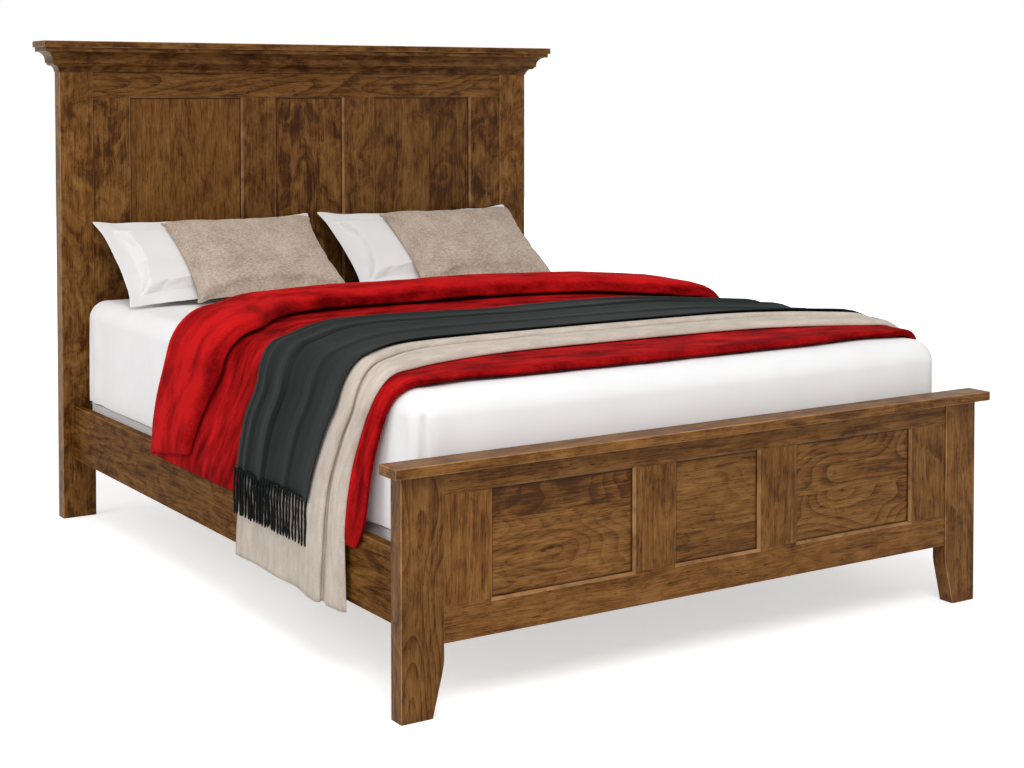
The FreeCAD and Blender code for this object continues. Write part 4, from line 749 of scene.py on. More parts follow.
# --------------------------------------------------------------------------------------------
# Pillows: a closed shell that a short cloth simulation fills out
# --------------------------------------------------------------------------------------------
PILLOW_LEAN = math.radians(36)
SIDE_DRAW = 0.013
FILL_VOXEL, FILL_PRESSURE, FILL_FRAMES = 0.0062, 4.0, 20


def pillow_edge(u, v, width, height):
    """Point of a pillow's plan: its sides pull in between the corners."""
    return Vector((u * (width / 2 - SIDE_DRAW * (1 - v * v)),
                   v * (height / 2 - SIDE_DRAW * (1 - u * u)), 0))


def seam_loop(width, height, count):
    """Points round a pillow's seam."""
    steps = []
    for number in range(count):
        turn = 4 * number / count
        side, share = int(turn), 2 * (turn - int(turn)) - 1
        steps.append(((share, -1), (1, share), (-share, 1), (-1, -share))[side])
    return [pillow_edge(u, v, width, height) for u, v in steps]


def pillow_shell(width, height, front, back):
    """Closed shell of two crowned grids that meet along the seam."""
    bm = bmesh.new()
    for crown in (front, -back):
        made = bmesh.ops.create_grid(bm, x_segments=56, y_segments=42, size=1)["verts"]
        for vert in made:
            u, v = vert.co.x, vert.co.y
            fullness = (max(0, 1 - u * u) * max(0, 1 - v * v)) ** 0.45
            vert.co = pillow_edge(u, v, width, height)
            vert.co.z = crown * fullness
        if crown < 0:
            faces = {face for vert in made for face in vert.link_faces}
            bmesh.ops.reverse_faces(bm, faces=list(faces))
    bmesh.ops.remove_doubles(bm, verts=bm.verts, dist=1e-5)
    return mesh_of(bm, "pillow shell")


def fill_out(mesh, most):
    """Fill a closed shell by cloth simulation, and return its mesh and what moved where."""
    scene = bpy.context.scene
    piece = bpy.data.objects.new("pillow under pressure", mesh)
    scene.collection.objects.link(piece)
    even = piece.modifiers.new("even mesh", "REMESH")
    even.mode, even.voxel_size = "VOXEL", FILL_VOXEL
    filled = bpy.data.meshes.new_from_object(
        piece.evaluated_get(bpy.context.evaluated_depsgraph_get()))
    piece.modifiers.clear()
    piece.data = filled
    start = [vert.co.copy() for vert in filled.vertices]
    moved = start
    cloth = piece.modifiers.new("cloth", "CLOTH")
    for name, value in (
            ("quality", 5), ("mass", 0.3), ("tension_stiffness", 15),
            ("compression_stiffness", 15), ("bending_stiffness", 0.3),
            ("use_pressure", True), ("uniform_pressure_force", FILL_PRESSURE)):
        setattr(cloth.settings, name, value)
    cloth.settings.effector_weights.gravity = 0
    cloth.point_cache.frame_start, cloth.point_cache.frame_end = 1, FILL_FRAMES
    for number in range(1, FILL_FRAMES + 1):
        scene.frame_set(number)
    shape = piece.evaluated_get(bpy.context.evaluated_depsgraph_get())
    pressed_out = shape.to_mesh()
    moved = []
    for one, vert in zip(start, pressed_out.vertices):
        move = vert.co - one
        if move.length > most:
            move *= most / move.length
        moved.append(one + move)
    shape.to_mesh_clear()
    piece.modifiers.clear()
    scene.frame_set(1)
    tree = kdtree.KDTree(len(start))
    for number, point in enumerate(start):
        tree.insert(point, number)
    tree.balance()
    for vert, point in zip(filled.vertices, moved):
        vert.co = point

    def follow(point):
        """Where a point of the first shell is after the filling."""
        near = tree.find_n(point, 6)
        shift = sum((moved[number] - start[number] for _, number, _ in near), Vector())
        return point + shift / len(near)
    bpy.data.objects.remove(piece)
    return filled, follow


def loop_edges(verts):
    """Edges of a ring of vertices, each once and always in the same order."""
    return list(dict.fromkeys(edge for vert in verts for edge in vert.link_edges))


def tube_round(bm, points, radius, sides=6):
    """Closed tube along a loop of points: a ring of sides at each, bridged to the next."""
    rings = []
    for number, point in enumerate(points):
        ahead = (points[(number + 1) % len(points)] - points[number - 1]).normalized()
        made = bmesh.ops.create_circle(bm, segments=sides, radius=radius)["verts"]
        turn = Vector((0, 0, 1)).rotation_difference(ahead).to_matrix()
        for vert in made:
            vert.co = point + turn @ vert.co
        rings.append(loop_edges(made))
    for number, ring in enumerate(rings):
        bmesh.ops.bridge_loops(bm, edges=ring + rings[(number + 1) % len(rings)])


def make_pillow(node, height, shell, most, trim, lower_edge, limits, material):
    """Fill a pillow's shell, trim its edge, lean it back in place, and press it flat.

    most is how far the filling may move a point, lower_edge is the y of its lower edge on the
    mattress, and limits are how far back and front it reaches from its middle plane, and the y
    of what it may not pass.
    """
    low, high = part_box(node)
    filled, follow = fill_out(shell, most)
    bm = bmesh.new()
    bm.from_mesh(filled)
    trim(bm, follow)
    bmesh.ops.translate(bm, vec=(0, height / 2, 0), verts=bm.verts)
    mesh = mesh_of(bm, f"{node}_cover")
    cos, sin = math.cos(PILLOW_LEAN), math.sin(PILLOW_LEAN)
    lean = Matrix(((1, 0, 0, (low[0] + high[0]) / 2), (0, cos, -sin, lower_edge),
                   (0, sin, cos, MATTRESS_HIGH.z), (0, 0, 0, 1)))
    back, front, farthest = limits
    for vert in mesh.vertices:
        vert.co.z = min(front, max(back, vert.co.z))
        point = lean @ vert.co
        point.z = max(MATTRESS_HIGH.z + SOFT_GAP, point.z)
        point.y = min(farthest, point.y)
        vert.co = point
    piece = new_piece(f"{node}_cover", mesh, material)
    smooth = piece.modifiers.new("fine mesh", "SUBSURF")
    smooth.levels = smooth.render_levels = 1
    return stand_in(piece, node, node)


# --------------------------------------------------------------------------------------------
# Blocks: the mattress and the foundation
# --------------------------------------------------------------------------------------------
def block(low, high):
    """Cube stretched between two corners."""
    bm = bmesh.new()
    bmesh.ops.create_cube(bm, size=1)
    bmesh.ops.scale(bm, vec=high - low, verts=bm.verts)
    bmesh.ops.translate(bm, vec=(low + high) / 2, verts=bm.verts)
    return bm


def cut_across(bm, axis, places, reach):
    """Cut a block at places along an axis; a vertex within reach of a cut is used for it."""
    direction = Vector([1.0 if number == axis else 0.0 for number in range(3)])
    for place in places:
        bmesh.ops.bisect_plane(bm, geom=bm.verts[:] + bm.edges[:] + bm.faces[:], dist=reach,
                               plane_co=direction * place, plane_no=direction)


def padded_block(low, high, corner, top_round, bottom_round, mesh_step):
    """Block with rounded corners in plan and rounded top and bottom edges, cut evenly."""
    bm = block(low, high)

    def same(edge, axis):
        one, other = edge.verts
        return abs(one.co[axis] - other.co[axis]) < 1e-6

    def level(edge, z):
        return all(abs(vert.co.z - z) < 1e-6 for vert in edge.verts)
    for chosen, radius, steps in (
            (lambda edge: same(edge, 0) and same(edge, 1), corner, 8),
            (lambda edge: level(edge, high.z), top_round, 7),
            (lambda edge: level(edge, low.z), bottom_round, 4)):
        bmesh.ops.bevel(bm, geom=[edge for edge in bm.edges if chosen(edge)], offset=radius,
                        segments=steps, profile=0.5, affect="EDGES", material=-1)
    for axis in range(3):
        count = max(1, round((high[axis] - low[axis]) / mesh_step))
        # a little off the even places, so that no cut runs along an edge
        cuts = [place + 0.0001 for place in evenly(low[axis], high[axis], count)[1:-1]]
        cut_across(bm, axis, cuts, 1e-6)
    return bm


def plan_loop(low, high, inset, corner, z):
    """Points round a rounded rectangle in plan."""
    points = []
    for sx, sy, start in ((1, 1, 0), (-1, 1, 90), (-1, -1, 180), (1, -1, 270)):
        cx = (high.x - inset - corner) if sx > 0 else (low.x + inset + corner)
        cy = (high.y - inset - corner) if sy > 0 else (low.y + inset + corner)
        for step in range(9):
            angle = math.radians(start + step * 90 / 8)
            points.append(Vector((
                cx + corner * math.cos(angle), cy + corner * math.sin(angle), z)))
    full = []
    for number, point in enumerate(points):
        after = points[(number + 1) % len(points)]
        count = max(1, round((after - point).length / 0.05))
        full.extend(point.lerp(after, step / count) for step in range(count))
    return full


def soft_block(low, high, round_top, round_bottom, mesh_step):
    """Block cut into an even grid whose edges are then drawn round."""
    bm = block(low, high)
    # cuts that divide each rounding's quarter circle evenly, and even ones between
    bends = [math.tan(math.radians(45 * step / 8)) for step in range(8)]
    for axis in range(3):
        radii = (round_top, round_top) if axis < 2 else (round_bottom, round_top)
        first, last = low[axis] + radii[0], high[axis] - radii[1]
        cuts = evenly(first, last, max(1, round((last - first) / mesh_step)))[1:-1]
        cuts += [first - radii[0] * bend for bend in bends]
        cuts += [last + radii[1] * bend for bend in bends]
        cut_across(bm, axis, cuts, 1e-7)
    for vert in bm.verts:
        x, y, z = vert.co
        flat = Vector((min(high.x - round_top, max(low.x + round_top, x)),
                       min(high.y - round_top, max(low.y + round_top, y)), 0))
        out = Vector((x, y, 0)) - flat
        reach = max(abs(out.x), abs(out.y))
        above, below = z - high.z + round_top, low.z + round_bottom - z
        radius, rise = (round_top, above) if above > 0 else (round_bottom, max(0.0, below))
        over = max(0.0, reach - (round_top - radius))
        if rise > 0 and over > 0:
            # the square corner of the section becomes a quarter circle
            length = math.hypot(over, rise) / max(over, rise)
            over, rise = over / length, rise / length
            reach = round_top - radius + over
            z = (high.z - radius + rise) if above > 0 else (low.z + radius - rise)
        if out.length > 0:
            out = out.normalized() * reach
        vert.co = Vector((flat.x + out.x, flat.y + out.y, z))
    return bm


# --------------------------------------------------------------------------------------------
# Operators: one for each piece or group of like pieces
# --------------------------------------------------------------------------------------------
class PANELBED_OT_finish_woodwork(bpy.types.Operator):
    """Give every stained or bare wooden part its own board of wood"""
    bl_idname = "panelbed.finish_woodwork"
    bl_label = "Finish Woodwork"

    def execute(self, context):
        wood = context.scene.panel_bed_wood
        head = wood.headboard_shade
        crown = (head * 0.95, 0, 0.10, 0.30, 0.62)
        # grain, shade, pale edges (painted highlight and wear), and the weights of figure, flame
        # and mottle
        boards = {
            "foot_post_left": ("z", 0.92, 0.9, 0.21, 0.26, 0.34),
            "foot_post_right": ("z", 0.98, 0.9, 0.14, 0.26, 0.36),
            "head_post_left": ("z", 0.95, 0.9, 0.10, 0.20, 0.60),
            "head_post_right": ("z", 0.95, 0.9, 0.10, 0.20, 0.55),
            "footboard_bottom_rail": ("x", 1.08, 0.8, 0.08, 0.24, 0.26),
            "footboard_top_rail": ("x", 0.98, 0.4, 0.08, 0.34, 0.30),
            "footboard_cap": ("x", 1.04, 0.9, 0.08, 0.40, 0.34),
            "side_rail_left": ("y", 0.80, 0.4, 0.14, 0.36, 0.36),
            "side_rail_right": ("y", 0.80, 0.4, 0.14, 0.36, 0.36),
            "headboard_bottom_rail": ("x", head, 0.4, 0.10, 0.30, 0.40),
            "headboard_top_rail": ("x", head * 1.05, 0.4, 0.20, 0.34, 0.36),
            "headboard_cap": ("x", head * 1.05, 0.9, 0.10, 0.30, 0.50),
            "headboard_crown_front": ("x", *crown),
            "headboard_crown_left": ("y", *crown),
            "headboard_crown_right": ("y", *crown),
        }
        stiles = ((1.10, 0.24, 1.06, 0.75), (0.98, 0.40, 0.98, 0.45),
                  (1.02, 0.34, 0.96, 0.55), (0.98, 0.40, 0.92, 0.80))
        for number, (foot_shade, foot_mottle, head_shade, head_mottle) in enumerate(stiles, 1):
            boards[f"footboard_stile_{number}"] = (
                "z", foot_shade, 0.7, 0.10, 0.24, foot_mottle)
            boards[f"headboard_stile_{number}"] = (
                "z", head * head_shade, 0.6, 0.10, 0.26, head_mottle)
        for order, (node, (grain, shade, edge_wear_and_highlight, *weights)) in enumerate(boards.items()):
            # the side rails are seen at a glancing angle, at which they hardly shine
            stained_cherry(
                node, grain, shade, order * 1.37, *weights,
                arch=BOLD_ARCHES if weights[0] > 0.2 else PLAIN_ARCHES, edge_wear_and_highlight=edge_wear_and_highlight,
                gleam=0.01 if node.startswith("side_rail") else LACQUER_GLEAM)
        # shade, the weights of figure, flame and mottle, and the arches a metre of each panel
        foot_panels = ((0.95, 0.16, 0.40, 0.28, 2.0), (0.92, 0.12, 0.30, 0.22, 1.8),
                       (1.0, 0.23, 0.32, 0.24, 2.6))
        head_panels = ((1.12, 0.10, 0.26, 0.26, PANEL_ARCHES),
                       (0.98, 0.16, 0.26, 0.72, PANEL_ARCHES),
                       (0.94, 0.12, 0.26, 0.50, PANEL_ARCHES))
        for order, place in enumerate(("left", "middle", "right")):
            shade, *weights = foot_panels[order]
            stained_cherry(f"footboard_panel_{place}", "x", shade, 3.3 + order * 2.7, *weights,
                           glued=wood.board_width * 1.3, framed=True)
            shade, *weights = head_panels[order]
            stained_cherry(f"headboard_panel_{place}", "z", head * shade, 9.1 + order * 1.9,
                           *weights, glued=wood.board_width, framed=True)
        plain = {f"slat_{number}": "x" for number in range(1, 6)}
        plain.update(cleat_left="y", cleat_right="y", center_leg_1="z", center_leg_2="z")
        for order, (node, grain) in enumerate(plain.items()):
            planed_pine(node, grain, order * 0.9)
        return {"FINISHED"}


class PANELBED_OT_finish_hardware(bpy.types.Operator):
    """Give plates, screws, inserts and glides their metal and plastic"""
    bl_idname = "panelbed.finish_hardware"
    bl_label = "Finish Hardware"

    def execute(self, context):
        groups = (
            (plated_steel("stamped_zinc_plated_steel", "#9A9DA0", 0.42, 0.012),
             ("post_slot_plates", "rail_hook_plates")),
            (plated_steel("rolled_zinc_plated_steel", "#A9A7A0", 0.34, 0.004),
             ("wood_screws", "cleat_screws", "leg_screws", "leveller_stem_1",
              "leveller_stem_2")),
            (plated_steel("turned_brass", "#B08D4C", 0.36, 0.005),
             ("leveller_insert_1", "leveller_insert_2")),
            (moulded_plastic(), ("leveller_pad_1", "leveller_pad_2")),
        )
        for material, nodes in groups:
            for node in nodes:
                give_material(node, material)
        return {"FINISHED"}


class PANELBED_OT_make_foundation(bpy.types.Operator):
    """Make the low foundation with its piped edges"""
    bl_idname = "panelbed.make_foundation"
    bl_label = "Make Foundation"

    def execute(self, context):
        low, high = corners("foundation")
        piping, corner = 0.002, 0.045
        bm = padded_block(
            low + Vector((piping, piping, 0.001)), high - Vector((piping, piping, 0.0005)),
            corner, top_round=0.004, bottom_round=0.008, mesh_step=0.06)
        for vert in bm.verts:
            depth = 0.001 * (0.5 + 0.5 * soft_noise(vert.co.x * 9, vert.co.y * 9, vert.co.z * 9))
            side = Vector((vert.co.x / 0.75, vert.co.y / 1.0, 0))
            vert.co -= side.normalized() * depth
        for z in (low.z + 0.006, high.z - 0.003):
            tube_round(bm, plan_loop(low, high, piping, corner, z), piping * 0.9)
        piece = new_piece("foundation_cover", mesh_of(bm, "foundation_cover"), woven_ticking())
        stand_in(piece, "frame", "foundation")
        return {"FINISHED"}


class PANELBED_OT_make_mattress(bpy.types.Operator):
    """Make the mattress in its white fitted cover"""
    bl_idname = "panelbed.make_mattress"
    bl_label = "Make Mattress"

    # middle of each corner's rounding off the mattress's own middle, and that middle's y
    CORNER_X, CORNER_Y, MIDDLE_Y = 0.704, 0.966, 0.013
    # where the fitted cover is tucked, round the corner from the side
    TUCK_TURN = math.radians(52)

    def execute(self, context):
        bm = soft_block(MATTRESS_LOW, MATTRESS_HIGH, TOP_ROUND, round_bottom=0.006,
                        mesh_step=0.024)
        bm.normal_update()
        moves = {vert: vert.normal * -self.hollow(*vert.co) for vert in bm.verts}
        for vert, move in moves.items():
            vert.co += move
        piece = new_piece("mattress_cover", mesh_of(bm, "mattress_cover"), white_percale(
            "percale_mattress_cover", context.scene.panel_bed_cloth.cover_colour, crease=0.2))
        stand_in(piece, "bedding", "mattress")
        return {"FINISHED"}

    def hollow(self, x, y, z):
        """How far the cover lies inside its block, so that the cloths lie clear of it."""
        below = MATTRESS_HIGH.z - z
        hollow = 0.0016 * (1 + soft_noise(x * 5.5, y * 5.5, z * 5.5))
        hollow += 0.0010 * (1 + soft_noise(x * 14, y * 14, z * 14 + 9))
        # gathered folds that run down from each corner, around the middle of its rounding
        out_x, out_y = abs(x) - self.CORNER_X, abs(y - self.MIDDLE_Y) - self.CORNER_Y
        corner, turn = math.hypot(out_x, out_y), math.atan2(out_y, out_x)
        near = math.exp(-((corner - TOP_ROUND) / 0.07) ** 2) * eased(below - 0.02, 0.0, 0.08)
        folds = math.cos(turn * 6 + 0.9 * soft_noise(x * 6, y * 6, z * 9))
        hollow += 0.004 * near * (0.5 + 0.5 * folds) ** 2
        # the tuck of the fitted cover down each corner
        line = (turn - self.TUCK_TURN) * TOP_ROUND
        line -= 0.008 * soft_noise(z * 14, math.copysign(3, x), 0)
        deep = eased(below - 0.035, 0, 0.02) * (1 - 0.5 * eased(below - 0.12, 0, 0.08))
        if corner > TOP_ROUND - 0.002 and abs(line) < 0.04:
            hollow += 0.0085 * deep * math.exp(-(line / 0.0048) ** 2)
            hollow -= 0.0022 * deep * math.exp(-((line - 0.014) / 0.008) ** 2)
        return max(0, hollow)


class PANELBED_OT_make_shams(bpy.types.Operator):
    """Make the two white shams with their flat stitched borders"""
    bl_idname = "panelbed.make_shams"
    bl_label = "Make Shams"

    def execute(self, context):
        post_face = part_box("head_post_left")[0][1] - 0.0004
        colour = context.scene.panel_bed_cloth.sham_colour
        height, flange = 0.405, 0.038
        for side, seed in (("left", 1), ("right", 5)):
            low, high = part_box(f"sham_{side}")
            width = high[0] - low[0]
            trim = functools.partial(self.add_border, width, height, flange, seed)
            shell = pillow_shell(width - 2 * flange, height - 2 * flange, front=0.022, back=0.050)
            piece = make_pillow(
                f"sham_{side}", height, shell, most=0.024, trim=trim, lower_edge=0.7108,
                limits=(-0.060, 0.0278, post_face),
                material=white_percale(f"percale_sham_{side}", colour, crease=0.15))
        return {"FINISHED"}

    def add_border(self, width, height, flange, seed, bm, follow):
        """Flat border of two layers of cloth that stands out from the seam and waves a little."""
        count, thickness = 220, 0.0036
        outer = seam_loop(width, height, count)
        inner = seam_loop(width - 2 * flange, height - 2 * flange, count)
        shifts = [follow(seam) - seam for seam in inner]
        rings = []
        # the front layer from the seam to the edge, then the back layer to the seam again
        steps = [(share, 1) for share in (1.18, 1.0, 0.75, 0.5, 0.25, 0.04)]
        steps += [(0.0, 0)] + [(share, -1) for share, _ in reversed(steps)]
        for share, layer in steps:
            loop = bmesh.ops.create_circle(bm, segments=count, radius=1)["verts"]
            for vert, edge, seam, shift in zip(loop, outer, inner, shifts):
                point = edge.lerp(seam, share) + shift * blend(0.55, 1.0, min(1, share))
                wave = soft_noise(point.x * 13, point.y * 13, seed) * 0.004
                lift = wave * (1 - min(1, share)) + layer * thickness / 2
                vert.co = Vector((point.x, point.y, point.z + lift))
            rings.append(loop_edges(loop))
        for one, other in zip(rings, rings[1:] + rings[:1]):
            bmesh.ops.bridge_loops(bm, edges=one + other)


class PANELBED_OT_make_cushions(bpy.types.Operator):
    """Make the two taupe cushions that lean on the shams"""
    bl_idname = "panelbed.make_cushions"
    bl_label = "Make Cushions"

    def execute(self, context):
        width, height = 0.524, 0.390

        def raised_seam(bm, follow):
            seam = seam_loop(width - 0.006, height - 0.006, 260)
            tube_round(bm, [follow(point) for point in seam], 0.0024)
        for side, seed in (("left", 2.0), ("right", 6.5)):
            shell = pillow_shell(width, height, front=0.046, back=0.010)
            piece = make_pillow(
                f"cushion_{side}", height, shell, most=0.022, trim=raised_seam,
                lower_edge=0.6524, limits=(-0.0055, 0.062, 1.04),
                material=brushed_velvet(f"brushed_taupe_velvet_{side}", seed))
        return {"FINISHED"}


# --------------------------------------------------------------------------------------------
# How high each cloth lies, and the three cloths
# --------------------------------------------------------------------------------------------
SHEET_STEP, WRAP_STEP = 0.011, 0.0125
# clear space between layers: under the blanket, over it, over the beige throw, and under the
# charcoal throw
UNDER_BLANKET, OVER_BLANKET, OVER_BEIGE, UNDER_WRAP = 0.0006, 0.0012, 0.0008, 0.0006
# soft band beside the beige throw's pleat: how high it lifts what lies on it, and where it falls
BAND_HEIGHT, BAND_START, BAND_END = 0.0185, 0.045, 0.165
# over how much way the charcoal throw comes down from the beige throw's edge
STEP_DOWN = 0.035


def hem_of(node):
    """Length of the way from the bed's middle down to a cloth's hem."""
    return DRAPE.to_height(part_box(node)[0][2])


def blanket_top(way, cloth):
    """Lift at which a cloth's underside lies on the blanket."""
    return UNDER_BLANKET + cloth.blanket_thickness * DRAPE.thinned(way) + OVER_BLANKET


def wrap_base(y, way, cloth):
    """Lift of the charcoal throw's middle: over the beige throw, and down to the blanket
    past it, and raised by the soft band beside the beige throw's pleat."""
    full = DRAPE.thinned(way)
    low = blanket_top(way, cloth) + cloth.wrap_thickness * full / 2
    beige = eased(along(THROW_HEAD, abs(way)) + 0.012 - y, -STEP_DOWN, 0.0)
    past_pleat = y - along(THROW_PLEAT, abs(way))
    band = BAND_HEIGHT * (1 - eased(past_pleat, BAND_START, BAND_END))
    return low + beige * (cloth.throw_thickness * full + OVER_BEIGE) + band + UNDER_WRAP


class PANELBED_OT_make_blanket(bpy.types.Operator):
    """Make the red plush blanket with its head end folded back"""
    bl_idname = "panelbed.make_blanket"
    bl_label = "Make Blanket"

    def execute(self, context):
        cloth = context.scene.panel_bed_cloth
        thickness, roll = cloth.blanket_thickness, cloth.roll_height
        hem = hem_of("red_blanket")
        # places across: the flat layer, the fold round the head end, and the part folded back
        places = (evenly(0, 1, 6)[:-1] + evenly(1, 8, 44)[:-1] + evenly(8, 12, 14)[:-1]
                  + evenly(12, 16, 26))

        def spot(place, way):
            full = DRAPE.thinned(way)
            foot, crease, head = (
                along(knots, abs(way)) for knots in (BLANKET_FOOT, BLANKET_CREASE, BLANKET_HEAD))
            # the part folded back ends a little higher than the layer under it
            way *= 1 - 0.042 * eased(place, 9.5, 15.5)
            full_roll = DRAPE.thinned(way)
            base = UNDER_BLANKET + thickness * full / 2
            rise = (roll - thickness) * full_roll * (1 - 0.12 * eased(abs(way), 0.55, 0.75))
            # the fold's end curls under where it hangs
            rise *= 1 - 0.35 * eased(abs(way), hem - 0.10, hem)
            brow = blend(0.022, 0.055, eased(abs(way), 0.60, 0.90))
            points = [
                (foot, base + 0.0005), (foot + 0.035, base + 0.0035),
                (blend(foot, crease, 0.3), base), (blend(foot, crease, 0.5), base),
                (blend(foot, crease, 0.7), base), (crease - 0.05, base),
                (crease + 0.03, base), (blend(crease, head, 0.55), base), (head - 0.045, base),
                (head - 0.010, base + rise * 0.16), (head, base + rise * 0.5),
                (head - 0.014, base + rise * 0.86), (head - 0.050, base + rise),
                (blend(head, crease, 0.5), base + rise * 1.03),
                (crease + brow, base + rise * 0.97), (crease + brow * 0.12, base + rise * 0.70),
                (crease, base + rise * 0.34),
            ]
            y, lift = spline_point(points, place)
            # plush is never quite flat: long shallow waves, none where the throws lie
            bare = eased(y, -0.26 - 0.1 * (abs(way) < 0.9), 0.02) + eased(-y, 0.86, 0.90)
            wave = soft_noise(way * 4.2, y * 5.5, place * 0.25)
            small = soft_noise(way * 13, y * 9 + 5, place * 0.2)
            if place > 11.5:
                lift += (0.0042 * wave + 0.0016 * small) * full_roll
                y += 0.006 * soft_noise(way * 5 + 3, 0.5, 2) * eased(place, 14, 16)
            elif bare > 0:
                lift += 0.0009 * (wave - 0.6) * bare
            if place < 1:
                y += 0.0035 * soft_noise(way * 6 + 11, 0, 0) * (1 - place)
            length = hem_length(way, y, hem, 0.004, 7, 3, 0.9, 0)
            return DRAPE.spot(length, y, max(lift, base))

        def shade_and_tone(place, way):
            """Darker tone on the flat layer, and painted shade on the fold's front wall and along
            the foot edge.
            """
            flat = 0.75 * (1 - eased(place, 7.0, 9.0))
            wall = eased(place, 14.3, 15.0) * (0.75 + 0.25 * soft_noise(way * 7, place, 0))
            return flat + wall + 0.45 * (1 - eased(place, 0.0, 0.5))
        piece = cloth_sheet("red_plush_blanket", places, hem, SHEET_STEP, spot, thickness,
                            red_plush(), shade_and_tone)
        stand_in(piece, "bedding", "red_blanket")
        return {"FINISHED"}


class PANELBED_OT_make_beige_throw(bpy.types.Operator):
    """Make the beige throw with its pleat"""
    bl_idname = "panelbed.make_beige_throw"
    bl_label = "Make Beige Throw"

    def execute(self, context):
        cloth = context.scene.panel_bed_cloth
        thickness = cloth.throw_thickness
        hem = hem_of("beige_throw")
        places = evenly(0, 2, 10)[:-1] + evenly(2, 7, 40)[:-1] + evenly(7, 12, 34)

        def spot(place, way):
            full = DRAPE.thinned(way)
            foot, pleat, head = (
                along(knots, abs(way)) for knots in (THROW_FOOT, THROW_PLEAT, THROW_HEAD))
            base = blanket_top(way, cloth) + thickness * full / 2
            hang = eased(abs(way), 0.95, 1.24)
            puff = 0.0150 * blend(1.0, 0.9, hang)
            slot = blend(0.003, 0.010, hang)
            # the band on the head side is folded over the pleat, and overhangs the slot
            points = [
                (foot, base), (foot + 0.012, base + puff * 0.70),
                (blend(foot, pleat, 0.5), base + puff * 0.95),
                (pleat - slot - 0.018, base + puff * 0.80),
                (pleat - slot - 0.002, base + puff * 0.25), (pleat + 0.004, base),
                (pleat + 0.009, base + puff * 0.30), (pleat + 0.003, base + puff * 0.85),
                (pleat + 0.018, base + puff * 1.20), (pleat + 0.075, base + puff * 0.80),
                (pleat + 0.16, base + puff * 0.12), (blend(pleat + 0.16, head, 0.5), base),
                (head, base),
            ]
            y, lift = spline_point(points, place)
            wave = soft_noise(way * 3.5 + 4, y * 8, 1)
            lift += 0.0012 * (wave + 0.3) * full * (1 if place < 9 else 0)
            # below the rail's top the cloth hangs free and swings out in long soft folds
            free = eased(abs(way), 1.07, 1.20)
            swing = math.sin((y - pleat) * 2 * math.pi / 0.21 + 0.6)
            lift += free * 0.004 * (0.5 + 0.5 * swing)
            length = hem_length(way, y, hem, 0.0035, 6, 5, 1.0, 4)
            return DRAPE.spot(length, y, max(lift, base))
        piece = cloth_sheet("beige_suede_throw", places, hem, SHEET_STEP, spot, thickness,
                            beige_suede())
        stand_in(piece, "bedding", "beige_throw")
        return {"FINISHED"}


